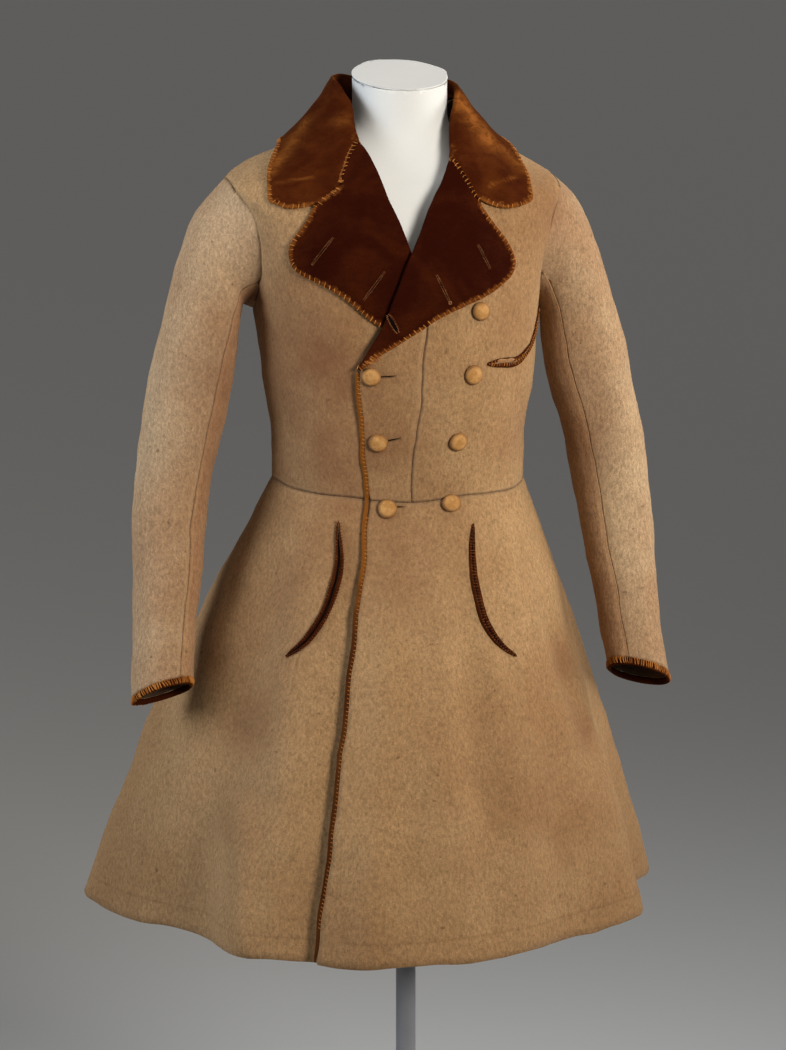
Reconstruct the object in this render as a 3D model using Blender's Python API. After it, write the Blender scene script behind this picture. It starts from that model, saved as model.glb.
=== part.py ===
"""Double-breasted frock coat with a velvet collar and lapels, standing on a limbless dress form.

Metres, +Z up, the wearer faces -Y and the wearer's left is +X. The origin is on the floor, under the
pole. Every cloth piece is a wall cut out of one of two smooth surfaces, the bodice and the skirt, so
that neighbours share their seam lines; what lies on a panel is made from the panel's own points,
moved out. A place on a surface is a pair: the turn about the body in degrees (0 in front, positive
to the wearer's left) and the level, which is the height that its ring has at the side of the body.
"""

import math

import bmesh
import bpy
import numpy as np
from mathutils import Vector
from mathutils.bvhtree import BVHTree

# ---------------------------------------------------------------- driving dimensions, in metres
WOOL = 0.0025  # thickness of the felted wool cloth
VELVET = 0.0022  # thickness of the velvet on its canvas
SEAM_GAP = 0.0003  # between two pieces at a seam
PLY_GAP = 0.0016  # between a turned-back piece and the panel that it lies on

WAIST_LEVEL = 1.054  # height of the waist seam at the side
HEM_HEIGHT = 0.520  # the hem hangs level above the floor
HEM_CENTRE_Y = 0.090  # the skirt hangs a little further back than the bodice

ROLL_RADIUS = 0.0016  # inside the fold of a lapel or of the collar
ROLL_HUMP = 0.0022  # how much higher a turned-back piece lies beside its fold
ROLL_REACH = 0.016  # how far from the fold that height dies away

BUTTON_DIAMETER = 0.024
BUTTON_HEIGHT = 0.0075
BINDING_WIDTH = 0.0065
WELT_HEIGHT = 0.0013
CUFF_EDGE = 0.008  # depth of the velvet edge at the wrist

NECK_RADIUS = 0.057
NECK_CENTRE_Y = 0.040
NECK_TOP_HEIGHT = 1.541
NECK_TOP_TILT = 10.0  # degrees, down towards the front
LID_THICKNESS = 0.0065
FORM_FLOOR = 0.930  # underside of the dress form
POLE_RADIUS = 0.012
BASE_RADIUS = 0.200
BASE_HEIGHT = 0.012
FLANGE_RADIUS = 0.045
FLANGE_HEIGHT = 0.028

MM = 0.001
SHARP_ANGLE = 40.0  # degrees between faces, above which an edge is drawn sharp

# ---------------------------------------------------------------- colours: base colour, roughness, metallic
FINISHES = {
    "wool": ((0.39, 0.26, 0.14), 0.95, 0.0),
    "collar_velvet": ((0.20, 0.045, 0.012), 0.80, 0.0),
    "lapel_velvet": ((0.09, 0.014, 0.006), 0.80, 0.0),
    "edge_velvet": ((0.24, 0.065, 0.016), 0.85, 0.0),
    "covered_button": ((0.50, 0.31, 0.15), 0.90, 0.0),
    "form_cloth": ((0.82, 0.80, 0.75), 0.70, 0.0),
    "grey_metal": ((0.20, 0.20, 0.21), 0.40, 1.0),
}


def table(columns, *rows):
    """Columns by name, each an array with one entry a row."""
    values = np.array(rows, float)
    return {name: values[:, i] for i, name in enumerate(columns.split())}


def smooth_curve(at, values):
    """A function that reads the smooth curve through values (one row for each entry of at)."""
    at, values = np.asarray(at, float), np.asarray(values, float)
    slopes = np.gradient(values, at, axis=0)

    def read(x):
        i = min(max(int(np.searchsorted(at, x)) - 1, 0), len(at) - 2)
        step = at[i + 1] - at[i]
        s = min(max((x - at[i]) / step, 0.0), 1.0)
        start = (2 * s**3 - 3 * s**2 + 1) * values[i] + (s**3 - 2 * s**2 + s) * step * slopes[i]
        end = (3 * s**2 - 2 * s**3) * values[i + 1] + (s**3 - s**2) * step * slopes[i + 1]
        return start + end

    return read


def curve_of(rows, at, *columns):
    """The smooth curve through the named columns of a table, read by its column at."""
    return smooth_curve(rows[at], np.stack([rows[c] for c in columns], axis=1))


def ease(x):
    """0 below 0, 1 above 1, and smooth between."""
    x = min(max(x, 0.0), 1.0)
    return x * x * (3 - 2 * x)


def unit(vector):
    return vector / np.linalg.norm(vector)


# ---------------------------------------------------------------- the two surfaces
# A ring of the bodice at each level: its half width, where its middle and its widest points lie, how
# high and how far forward or back it runs in front and behind, and how square its corners are.
BODICE = table(
    "level half_width centre_x side_y front_height front_y back_height back_y corner",
    (1.054, 0.148, -0.002, 0.045, 1.041, -0.071, 1.056, 0.128, 0.05),
    (1.120, 0.152, -0.002, 0.045, 1.111, -0.085, 1.125, 0.132, 0.05),
    (1.190, 0.161, -0.003, 0.045, 1.180, -0.097, 1.198, 0.138, 0.06),
    (1.255, 0.167, -0.004, 0.045, 1.244, -0.101, 1.262, 0.142, 0.07),
    (1.295, 0.172, -0.005, 0.045, 1.280, -0.100, 1.300, 0.142, 0.08),
    (1.335, 0.181, -0.006, 0.046, 1.316, -0.096, 1.338, 0.140, 0.08),
    (1.385, 0.196, -0.008, 0.047, 1.358, -0.087, 1.380, 0.135, 0.08),
    (1.410, 0.200, -0.010, 0.048, 1.380, -0.080, 1.400, 0.131, 0.08),
    (1.430, 0.171, -0.013, 0.050, 1.397, -0.072, 1.418, 0.127, 0.07),
    (1.450, 0.130, -0.011, 0.052, 1.414, -0.062, 1.437, 0.121, 0.06),
    (1.475, 0.100, -0.008, 0.051, 1.438, -0.046, 1.461, 0.114, 0.05),
    (1.507, 0.073, -0.004, 0.050, 1.470, -0.022, 1.492, 0.105, 0.04),
    (1.540, 0.067, -0.004, 0.048, 1.500, -0.020, 1.526, 0.104, 0.04),
)
NECK_LEVEL = 1.507
RING = curve_of(BODICE, "level", *[name for name in BODICE if name != "level"])

# The hem in plan: how far it reaches from its centre at each turn, with the flutes of the skirt.
HEM = table(
    "turn reach",
    (-180, 0.335),
    (-165, 0.352),
    (-150, 0.325),
    (-135, 0.352),
    (-120, 0.352),
    (-104, 0.380),
    (-88, 0.350),
    (-73, 0.315),
    (-58, 0.293),
    (-49, 0.322),
    (-40, 0.336),
    (-28, 0.328),
    (-14, 0.338),
    (-3, 0.327),
    (15, 0.310),
    (32, 0.294),
    (51, 0.306),
    (62, 0.319),
    (70, 0.303),
    (78, 0.288),
    (90, 0.309),
    (104, 0.361),
    (120, 0.345),
    (135, 0.352),
    (150, 0.325),
    (165, 0.352),
    (180, 0.335),
)
# The same hem without its flutes, which only open on the way down.
BELL = table("turn reach", (-180, 0.335), (-90, 0.359), (0, 0.325), (90, 0.314), (180, 0.335))
BELL_SPRING = 0.35  # how much sooner the skirt springs out than a straight cone
FLUTE_START = 1.3  # a higher power keeps the flutes nearer to the hem
HEM_REACH = curve_of(HEM, "turn", "reach")
BELL_REACH = curve_of(BELL, "turn", "reach")


def on_bodice(turn, level):
    """The inner face of the bodice."""
    half_width, centre_x, side_y, front_height, front_y, back_height, back_y, corner = RING(level)
    sine, cosine = math.sin(math.radians(turn)), math.cos(math.radians(turn))
    fullness = 1 + corner * (2 * sine * cosine) ** 2
    height, y = (front_height, front_y) if cosine > 0 else (back_height, back_y)
    return np.array(
        [
            centre_x + half_width * sine * fullness,
            side_y + (y - side_y) * abs(cosine) * fullness,
            level + (height - level) * cosine**2,
        ]
    )


def on_skirt(turn, level):
    """The inner face of the skirt, from the waist seam down to the hem."""
    drop = (WAIST_LEVEL - level) / (WAIST_LEVEL - HEM_HEIGHT)
    sine, cosine = math.sin(math.radians(turn)), math.cos(math.radians(turn))
    outward = np.array([sine, -cosine, 0.0])
    bearing = (turn + 180) % 360 - 180
    bell, flutes = BELL_REACH(bearing)[0], HEM_REACH(bearing)[0] - BELL_REACH(bearing)[0]
    waist = on_bodice(turn, WAIST_LEVEL)
    hem = np.array([0.0, HEM_CENTRE_Y, HEM_HEIGHT]) + outward * bell
    place = waist + (hem - waist) * (drop + BELL_SPRING * drop * (1 - drop))
    place += outward * flutes * max(drop, 0.0) ** FLUTE_START
    place[2] = waist[2] + (HEM_HEIGHT - waist[2]) * drop
    return place


def outward_at(surface, turn, level):
    """The direction straight out of the surface; on the waist seam, halfway between both surfaces."""
    if abs(level - WAIST_LEVEL) < 1e-6:
        below, above = slope_at(on_skirt, turn, level, -0.002), slope_at(on_bodice, turn, level, 0.002)
        return unit(below + above)
    up = -0.002 if surface is on_skirt and level + 0.002 > WAIST_LEVEL else 0.002
    return slope_at(surface, turn, level, up)


def slope_at(surface, turn, level, up):
    """The outward direction from a small step round the body and one up, or down, along it."""
    across = surface(turn + 0.5, level) - surface(turn - 0.5, level)
    return unit(np.cross(across, (surface(turn, level + up) - surface(turn, level)) / up))


def lifted(surface, turn, level, lift):
    return surface(turn, level) + outward_at(surface, turn, level) * lift


def in_front(surface, x, height):
    """The (turn, level) on the front of a surface with this distance from the centre and this height."""
    turn, level = math.degrees(math.asin(min(max(x / 0.25, -0.9), 0.9))), height + 0.01
    for _ in range(40):
        here = surface(turn, level)
        by_turn = (surface(turn + 0.1, level) - here) / 0.1
        by_level = (surface(turn, level + 0.0005) - here) / 0.0005
        wanted = np.array([x - here[0], height - here[2]])
        step = np.linalg.solve(np.array([[by_turn[0], by_level[0]], [by_turn[2], by_level[2]]]), wanted)
        turn += min(max(step[0], -8.0), 8.0)
        level += min(max(step[1], -0.02), 0.02)
        if abs(wanted).max() < 1e-6:
            break
    return np.array([turn, level])


def front_line(surface, rows, x="x", height="height"):
    """(turn, level) for each row of a table in millimetres."""
    return np.array([in_front(surface, a * MM, b * MM) for a, b in zip(rows[x], rows[height])])


# ---------------------------------------------------------------- seams and edges of the bodice
# Front edge of the left forepart, from the waist seam to the foot of the roll line.
FRONT_EDGE = table("x height", (-57, 1042), (-64, 1099), (-70, 1160), (-71, 1199))
# Seam of the lapel strip, from the waist seam up to where it meets the roll line.
STRIP_SEAM = table(
    "x height",
    (-9, 1041), (-8, 1105), (-3, 1166), (0, 1208), (4, 1249), (8, 1310), (11, 1375),
)
# Edge of the right forepart where it lies under the left one, up to the foot of its roll line.
UNDERLAP = table("x height", (56, 1042), (62, 1099), (66, 1160), (68, 1197))

# Each lapel from its gorge seam down to its foot: the roll line, and the outer edge across from it.
LEFT_LAPEL = table(
    "roll_x roll_height edge_x edge_height",
    (45, 1437, 70, 1393),
    (37, 1421, 79, 1378),
    (29, 1406, 91, 1367),
    (20, 1390, 103, 1351),
    (9, 1370, 112, 1333),
    (-1, 1350, 112, 1316),
    (-11, 1329, 99, 1301),
    (-22, 1306, 74, 1286),
    (-33, 1281, 44, 1272),
    (-43, 1257, 13, 1258),
    (-53, 1236, -18, 1240),
    (-62, 1217, -45, 1224),
    (-70, 1201, -64, 1208),
)
RIGHT_LAPEL = table(
    "roll_x roll_height edge_x edge_height",
    (-67, 1456, -96, 1397),
    (-60, 1442, -110, 1387),
    (-53, 1426, -127, 1376),
    (-45, 1407, -141, 1360),
    (-36, 1386, -147, 1340),
    (-27, 1366, -141, 1320),
    (-17, 1344, -121, 1304),
    (-5, 1320, -94, 1285),
    (9, 1297, -63, 1262),
    (25, 1269, -31, 1243),
    (43, 1238, 6, 1228),
    (62, 1205, 47, 1210),
)
# The gorge seams, from the fold to the notch.
LEFT_GORGE = table("x height", (45, 1437), (54, 1420), (63, 1406), (70, 1393))
RIGHT_GORGE = table("x height", (-67, 1456), (-80, 1437), (-90, 1419), (-96, 1397))
# The collar on each side: its fold line from the centre of the back towards the gorge seam, its outer
# rim from there to the corner (both with the turn counted from the front), and its free lower edge
# from the notch to that corner.
LEFT_FOLD = table(
    "turn level", (180, 1.534), (150, 1.532), (120, 1.526), (92, 1.519), (68, 1.516), (52, 1.510), (42, 1.494)
)
RIGHT_FOLD = table(
    "turn level", (180, 1.534), (150, 1.534), (120, 1.531), (95, 1.524), (72, 1.520), (58, 1.514), (48, 1.498)
)
LEFT_RIM = table(
    "turn level", (180, 1.440), (150, 1.444), (120, 1.448), (90, 1.446), (70, 1.439), (56, 1.429), (46, 1.415)
)
RIGHT_RIM = table(
    "turn level", (180, 1.440), (150, 1.445), (120, 1.451), (96, 1.453), (80, 1.447), (66, 1.438), (55, 1.426)
)
LEFT_STEP = table(
    "x height",
    (70, 1393), (85, 1387), (104, 1384), (124, 1386), (134, 1391), (138, 1400),
)
RIGHT_STEP = table(
    "x height",
    (-96, 1397), (-115, 1393), (-136, 1390), (-156, 1391), (-165, 1397), (-167, 1406),
)

SIDE_SEAM_TURN = 100.0
SHOULDER_SEAM_TURN = 97.0
# The armhole, from the top of the shoulder down the front, under the arm and up the back.
ARMHOLE = table(
    "turn level",
    (90, 1.4140),
    (66, 1.4070),
    (59, 1.3760),
    (62, 1.3380),
    (70, 1.3040),
    (84, 1.2740),
    (SIDE_SEAM_TURN, 1.2610),
    (112, 1.2800),
    (118, 1.3250),
    (114, 1.3780),
    (104, 1.4070),
)
ARMHOLE_STEPS = 2  # points of the mesh from one row to the next
FRONT_SLEEVE_SEAM = 8  # points of the loop, counted from the top of the shoulder
HIND_SLEEVE_SEAM = 16
ARMHOLE_GAP = 0.0010  # from the armhole in to the sleeve
ARM_SIDE_SEAM = 12
ARM_BACK_SEAM = 15
# The curved seam of the back, from the waist up to the armhole.
BACK_SEAM = table(
    "turn level",
    (163, WAIST_LEVEL), (159, 1.120), (152, 1.185), (141, 1.240), (128, 1.282), (116, 1.300),
)

# The sleeve as seen from the front: the ends of each ring at the body side and at the outer side, then
# its middle and half depth from front to back, how far it tips up in front and its twist, in degrees,
# and how far both sleeves hang to the wearer's left there.
SLEEVE = table(
    "under_x under_height over_x over_height middle_y half_depth tip twist sway",
    (0.1790, 1.2680, 0.2290, 1.3830, 0.046, 0.0600, 0, 0, -0.010),
    (0.1815, 1.2560, 0.2480, 1.3400, 0.046, 0.0590, 0, -2, -0.010),
    (0.1845, 1.2420, 0.2615, 1.3000, 0.046, 0.0570, 0, -4, -0.010),
    (0.1885, 1.1950, 0.2850, 1.2200, 0.046, 0.0530, -2, -8, -0.0095),
    (0.2030, 1.1336, 0.2996, 1.1524, 0.049, 0.0520, -2, -9, -0.008),
    (0.2200, 1.0628, 0.3120, 1.0772, 0.050, 0.0490, 2, -10, -0.007),
    (0.2313, 0.9951, 0.3190, 1.0049, 0.044, 0.0460, 8, -10, -0.006),
    (0.2417, 0.9212, 0.3215, 0.9288, 0.027, 0.0430, 14, -10, -0.0055),
    (0.2505, 0.8530, 0.3270, 0.8500, 0.008, 0.0400, 19, -10, -0.005),
    (0.2540, 0.8230, 0.3300, 0.8030, -0.004, 0.0390, 24, -10, -0.005),
)

# ---------------------------------------------------------------- edges of the skirt
SKIRT_EDGE = table(
    "x height",
    (-57, 1042), (-67, 976), (-83, 886), (-103, 775), (-119, 677), (-145, 521),
)
SKIRT_UNDERLAP = table(
    "x height",
    (56, 1042), (58, 976), (62, 886), (68, 775), (74, 677), (84, 521),
)
SKIRT_SIDE_TURN = 127.0  # seam between the skirt and the back skirt
# The crescent pockets, from the top end down: the middle of the slit and half the width over both lips.
LEFT_POCKET = table(
    "x height half",
    (63, 1010, 1.5), (61, 975, 4.2), (63, 935, 5.0), (72, 903, 5.0), (88, 877, 4.2),
    (109, 857, 1.5),
)
RIGHT_POCKET = table(
    "x height half",
    (-92, 1016, 1.5), (-96, 976, 4.2), (-105, 938, 5.0), (-121, 905, 5.0), (-140, 881, 4.2),
    (-162, 862, 1.5),
)
CHEST_POCKET = table(
    "x height half",
    (79, 1205, 1.5), (92, 1204, 5.0), (107, 1203, 6.0), (122, 1205, 5.0), (139, 1219, 3.0),
    (151, 1241, 2.4), (157, 1260, 1.5),
)
POCKET_SLIT = 0.0011  # half the width of the open slit
WELT_STEPS = 9

# Button centres, and which row each is in.
BUTTONS = table(
    "x height row on_skirt",
    (-59, 1194, 2, 0),
    (-50, 1115, 3, 0),
    (-38, 1033, 4, 1),
    (69, 1269, 1, 0),
    (63, 1194, 2, 0),
    (46, 1113, 3, 0),
    (38, 1034, 4, 1),
)
BUTTON_PANELS = ("forepart_left", "lapel_strip_left", "skirt_left")
BUTTON_POINTS = 12
NECK_SHARE = 0.35  # radius of the button's neck, as a share of its own
# (share of the radius, share of the height) from the foot to the top
BUTTON_PROFILE = (
    (NECK_SHARE, 0.0),
    (NECK_SHARE, 0.12),
    (0.92, 0.22),
    (1.0, 0.45),
    (0.80, 0.82),
    (0.40, 1.0),
)

# ---------------------------------------------------------------- how the fronts lap
TUCK = 0.0038  # how far the right front lies inside the left one at the waist
HEM_TUCK = 0.0085  # the same at the hem
LAPEL_TUCK = 0.0082  # the same where its lapel lies between the two
TUCK_RUN = 0.050  # the tuck grows over this width, outside the left front's edge
LEFT_LINE = smooth_curve(
    np.concatenate([SKIRT_EDGE["height"][::-1], FRONT_EDGE["height"][1:], LEFT_LAPEL["roll_height"][::-1][1:]]) * MM,
    np.concatenate([SKIRT_EDGE["x"][::-1], FRONT_EDGE["x"][1:], LEFT_LAPEL["roll_x"][::-1][1:]])[:, None] * MM,
)


def right_tuck(place):
    """The lift, below zero, of the right front at a place on it."""
    depth = TUCK + (LAPEL_TUCK - TUCK) * ease((place[2] - 1.12) / 0.06)
    depth += (HEM_TUCK - TUCK) * ease((WAIST_LEVEL - place[2]) / (WAIST_LEVEL - HEM_HEIGHT))
    depth *= 1 - ease((place[2] - 1.345) / 0.06)
    return -depth * ease((place[0] - LEFT_LINE(place[2])[0]) / TUCK_RUN + 1)


def no_tuck(place):
    return 0.0


# ---------------------------------------------------------------- making meshes
def new_object(name, bm, finish):
    """The finished piece: every face looks out, and only the cut edges of a wall stay sharp."""
    bmesh.ops.recalc_face_normals(bm, faces=bm.faces)
    if bm.calc_volume(signed=True) < 0:
        bmesh.ops.reverse_faces(bm, faces=bm.faces)
    mesh = bpy.data.meshes.new(name)
    bm.to_mesh(mesh)
    bm.free()
    mesh.materials.append(finish)
    mesh.shade_smooth()
    mesh.set_sharp_from_angle(angle=math.radians(SHARP_ANGLE))
    piece = bpy.data.objects.new(name, mesh)
    bpy.context.scene.collection.objects.link(piece)
    return piece


def pulled_in(grid, distance):
    """The grid of points with each of its four edges moved inwards, to leave a seam's gap."""
    moved = grid.copy()
    for edge, inside in ((0, 1), (-1, -2)):
        moved[edge] += unit_rows(grid[inside] - grid[edge]) * distance
    for edge, inside in ((0, 1), (-1, -2)):
        moved[:, edge] += unit_rows(grid[:, inside] - grid[:, edge]) * distance
    return moved


def unit_rows(vectors):
    return vectors / np.maximum(np.linalg.norm(vectors, axis=-1, keepdims=True), 1e-9)


def sheet_of(bm, points):
    """A flat grid, each vertex then moved to its own one of a grid of points."""
    across, up = points.shape[0], points.shape[1]
    made = bmesh.ops.create_grid(bm, x_segments=across - 1, y_segments=up - 1, size=0.5)
    place = {}
    for vertex in made["verts"]:
        column = round((vertex.co.x + 0.5) * (across - 1))
        row = round((vertex.co.y + 0.5) * (up - 1))
        place[vertex] = (column, row)
    for vertex, (column, row) in place.items():
        vertex.co = points[column, row]
    return place


def wall(name, inner, outer, finish):
    """A closed wall of cloth: a sheet on the inner points, extruded to the outer ones."""
    bm = bmesh.new()
    slot = bm.verts.layers.int.new("slot")
    for vertex, (column, row) in sheet_of(bm, inner).items():
        vertex[slot] = column * inner.shape[1] + row
    made = bmesh.ops.extrude_face_region(bm, geom=list(bm.faces), use_keep_orig=True)
    raised = [item for item in made["geom"] if isinstance(item, bmesh.types.BMVert)]
    outer_points = outer.reshape(-1, 3)
    for vertex in raised:
        vertex.co = outer_points[vertex[slot]]
    bmesh.ops.triangulate(bm, faces=bm.faces, quad_method="SHORT_EDGE")
    return new_object(name, bm, finish)


def through_loops(name, loops, finish, closed=False):
    """A body through loops of points, each with as many; its ends are capped, or joined to each other."""
    loops = np.array(loops)
    loops = np.concatenate([loops, loops[:, :1]], axis=1)
    if closed:
        loops = np.concatenate([loops, loops[:1]], axis=0)
    bm = bmesh.new()
    sheet_of(bm, loops)
    bmesh.ops.remove_doubles(bm, verts=bm.verts, dist=1e-6)
    if not closed:
        bmesh.ops.holes_fill(bm, edges=[edge for edge in bm.edges if edge.is_boundary])
    return new_object(name, bm, finish)


def patch(bottom, top, left, right, shares=None):
    """A grid of (turn, level) pairs that meets four edges; left and right run from bottom to top."""
    u = (np.linspace(0, 1, len(bottom)) if shares is None else shares)[:, None, None]
    v = np.linspace(0, 1, len(left))[None, :, None]
    along = (1 - v) * bottom[:, None] + v * top[:, None]
    upward = (1 - u) * left[None] + u * right[None]
    corners = (1 - u) * ((1 - v) * bottom[0] + v * top[0]) + u * ((1 - v) * bottom[-1] + v * top[-1])
    return along + upward - corners


def between(first, last, count):
    """A straight run of count + 1 (turn, level) pairs."""
    return np.linspace(np.asarray(first, float), np.asarray(last, float), count + 1)


def evenly(line, count):
    """count + 1 pairs at even steps along the smooth curve through a line of (turn, level) pairs."""
    places = np.array([on_bodice(*pair) if pair[1] >= WAIST_LEVEL else on_skirt(*pair) for pair in line])
    run = np.concatenate([[0], np.cumsum(np.linalg.norm(np.diff(places, axis=0), axis=1))])
    read = smooth_curve(run, line)
    return np.array([read(s) for s in np.linspace(0, run[-1], count + 1)])


def panel(name, surface, pairs, finish, tuck=no_tuck, thickness=WOOL, above=0.0):
    """A wall of cloth on the grid of (turn, level) pairs, raised above the surface."""
    inner, outer = [], []
    for column in pairs:
        base = [surface(*pair) for pair in column]
        out = [outward_at(surface, *pair) for pair in column]
        lift = [tuck(place) + above for place in base]
        inner.append([p + n * h for p, n, h in zip(base, out, lift)])
        outer.append([p + n * (h + thickness) for p, n, h in zip(base, out, lift)])
    inner, outer = np.array(inner), np.array(outer)
    return wall(name, pulled_in(inner, SEAM_GAP / 2), pulled_in(outer, SEAM_GAP / 2), finish)


# ---------------------------------------------------------------- the bodice
UNDERARM_ROWS = 6  # rows of a panel from the waist to the armhole
PANEL_COLUMNS = 7  # columns of a forepart, and of a back under the shoulder seam
NECK_COLUMNS = 2  # more columns of a back, under the neck
NECK_ROWS = 4  # rows of a forepart from the gorge seam to the shoulder seam
EDGE_ROWS = 6  # rows of the lapel strip along the front edge
STRIP_ROWS = 12  # all of its rows


def armhole_loop(side):
    """(turn, level) pairs round an armhole, from the top of the shoulder by way of the front."""
    turns, levels = ARMHOLE["turn"], ARMHOLE["level"]
    count = len(turns)
    wrapped = np.arange(-2, count + 3)
    pairs = np.stack([turns[wrapped % count], levels[wrapped % count]], axis=1)
    read = smooth_curve(wrapped, pairs)
    loop = np.array([read(i / ARMHOLE_STEPS) for i in range(count * ARMHOLE_STEPS)])
    return loop * [side, 1]


def side_and_arm(side):
    """The hind edge of a forepart, from the waist up the side seam and round the front of the armhole."""
    loop = armhole_loop(side)
    seam = between((side * SIDE_SEAM_TURN, WAIST_LEVEL), loop[ARM_SIDE_SEAM], UNDERARM_ROWS)
    return np.vstack([seam, loop[ARM_SIDE_SEAM - 1 :: -1], loop[-1:]])


def forepart(name, side, front, tuck, finish):
    """front runs from the waist seam to the neck end of the shoulder seam, a point for each row."""
    back = side_and_arm(side)
    bottom = between(front[0], back[0], PANEL_COLUMNS)
    shoulder = between(front[-1], back[-1], PANEL_COLUMNS)
    panel(name, on_bodice, patch(bottom, shoulder, front, back), finish, tuck)


def neckline(side, gorge_top):
    """(turn, level) pairs from the gorge seam to the shoulder seam, where the collar is sewn on."""
    start, end = np.array(gorge_top), np.array([side * SHOULDER_SEAM_TURN, NECK_LEVEL])
    return np.array([start, start + (end - start) * [0.5, 0.82], end])


def side_body(name, side, finish):
    loop = armhole_loop(side)
    front = between((side * SIDE_SEAM_TURN, WAIST_LEVEL), loop[ARM_SIDE_SEAM], UNDERARM_ROWS)
    back = evenly(back_seam(side), UNDERARM_ROWS)
    columns = ARM_BACK_SEAM - ARM_SIDE_SEAM
    top = loop[ARM_SIDE_SEAM : ARM_BACK_SEAM + 1]
    panel(name, on_bodice, patch(between(front[0], back[0], columns), top, front, back), finish)


def back_seam(side):
    seam = np.stack([BACK_SEAM["turn"] * side, BACK_SEAM["level"]], axis=1)
    seam[-1] = armhole_loop(side)[ARM_BACK_SEAM]
    return seam


def back_panel(name, side, finish):
    loop = armhole_loop(side)
    outer = np.vstack([evenly(back_seam(side), UNDERARM_ROWS), loop[ARM_BACK_SEAM + 1 :]])
    centre = between((side * 180, WAIST_LEVEL), (side * 180, NECK_LEVEL), len(outer) - 1)
    neck_end = (side * SHOULDER_SEAM_TURN, NECK_LEVEL)
    bottom = between(centre[0], outer[0], NECK_COLUMNS + PANEL_COLUMNS)
    neck = between(centre[-1], neck_end, NECK_COLUMNS)
    shoulder = between(neck_end, outer[-1], PANEL_COLUMNS)
    panel(name, on_bodice, patch(bottom, np.vstack([neck, shoulder[1:]]), centre, outer), finish)


def make_bodice(cloth):
    rows = len(side_and_arm(1)) - 1
    roll = front_line(on_bodice, LEFT_LAPEL, "roll_x", "roll_height")
    seam, edge = front_line(on_bodice, STRIP_SEAM), front_line(on_bodice, FRONT_EDGE)
    seam[0, 1] = edge[0, 1] = WAIST_LEVEL
    neck = evenly(neckline(1, roll[0]), NECK_ROWS)
    open_front = evenly(np.vstack([seam[-1:], roll[3::-1]]), rows - STRIP_ROWS - NECK_ROWS)
    left_front = np.vstack([evenly(seam, STRIP_ROWS), open_front[1:], neck[1:]])
    forepart("forepart_left", 1, left_front, no_tuck, cloth["wool"])

    hidden_edge = evenly(roll[-1:4:-1], STRIP_ROWS - EDGE_ROWS)
    strip_edge = np.vstack([evenly(edge, EDGE_ROWS)[:-1], hidden_edge])
    strip_seam = left_front[: STRIP_ROWS + 1]
    bottom, top = between(strip_edge[0], strip_seam[0], 3), between(strip_edge[-1], strip_seam[-1], 3)
    panel("lapel_strip_left", on_bodice, patch(bottom, top, strip_edge, strip_seam), cloth["wool"])

    roll = front_line(on_bodice, RIGHT_LAPEL, "roll_x", "roll_height")
    under = front_line(on_bodice, UNDERLAP)
    under[0, 1] = WAIST_LEVEL
    neck = evenly(neckline(-1, roll[0]), NECK_ROWS)
    right_front = np.vstack([evenly(np.vstack([under[:-1], roll[::-1]]), rows - NECK_ROWS), neck[1:]])
    forepart("forepart_right", -1, right_front, right_tuck, cloth["wool"])
    for side, word in ((1, "left"), (-1, "right")):
        side_body(f"side_body_{word}", side, cloth["wool"])
        back_panel(f"back_{word}", side, cloth["wool"])


# ---------------------------------------------------------------- the skirt
SKIRT_ROWS = 7


def skirt_panel(name, first, last, columns, finish, tuck=no_tuck):
    """A panel between two lines that run from the waist seam down to the hem."""
    bottom, top = between(first[0], last[0], columns), between(first[-1], last[-1], columns)
    return panel(name, on_skirt, patch(bottom, top, first, last), finish, tuck)


def down_the_skirt(turn):
    return between((turn, WAIST_LEVEL), (turn, HEM_HEIGHT), SKIRT_ROWS)


def skirt_line(rows):
    """An edge of a skirt front, with its ends exactly on the waist seam and on the hem."""
    line = front_line(on_skirt, rows)
    line[0], line[-1, 1] = in_front(on_bodice, rows["x"][0] * MM, rows["height"][0] * MM), HEM_HEIGHT
    line[0, 1] = WAIST_LEVEL
    return evenly(line, SKIRT_ROWS)


def make_skirt(cloth):
    for side, word, edge, tuck in (
        (1, "left", SKIRT_EDGE, no_tuck),
        (-1, "right", SKIRT_UNDERLAP, right_tuck),
    ):
        seam = down_the_skirt(side * SKIRT_SIDE_TURN)
        skirt_panel(f"skirt_{word}", skirt_line(edge), seam, 16, cloth["wool"], tuck)
        centre = down_the_skirt(side * 180)
        skirt_panel(f"back_skirt_{word}", seam, centre, 6, cloth["wool"])


# ---------------------------------------------------------------- the sleeves
def sleeve_ring(side, row, count):
    """(inner, outer) points round one ring of a sleeve, starting at the outer side."""
    under = np.array([SLEEVE["under_x"][row], SLEEVE["middle_y"][row], SLEEVE["under_height"][row]])
    over = np.array([SLEEVE["over_x"][row], SLEEVE["middle_y"][row], SLEEVE["over_height"][row]])
    middle, outward = (under + over) / 2, (over - under) / 2
    half_width = np.linalg.norm(outward)
    tip = math.radians(SLEEVE["tip"][row])
    forward = np.array([0.0, -math.cos(tip), math.sin(tip)])
    points = []
    for inset in (WOOL, 0.0):
        ring = []
        for i in range(count):
            angle = math.radians(360 * i / count + SLEEVE["twist"][row])
            across = unit(outward) * (half_width - inset) * math.cos(angle)
            ring.append(middle + across + forward * (SLEEVE["half_depth"][row] - inset) * math.sin(angle))
        points.append(np.array(ring) * [side, 1, 1] + [SLEEVE["sway"][row], 0, 0])
    return points


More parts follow.
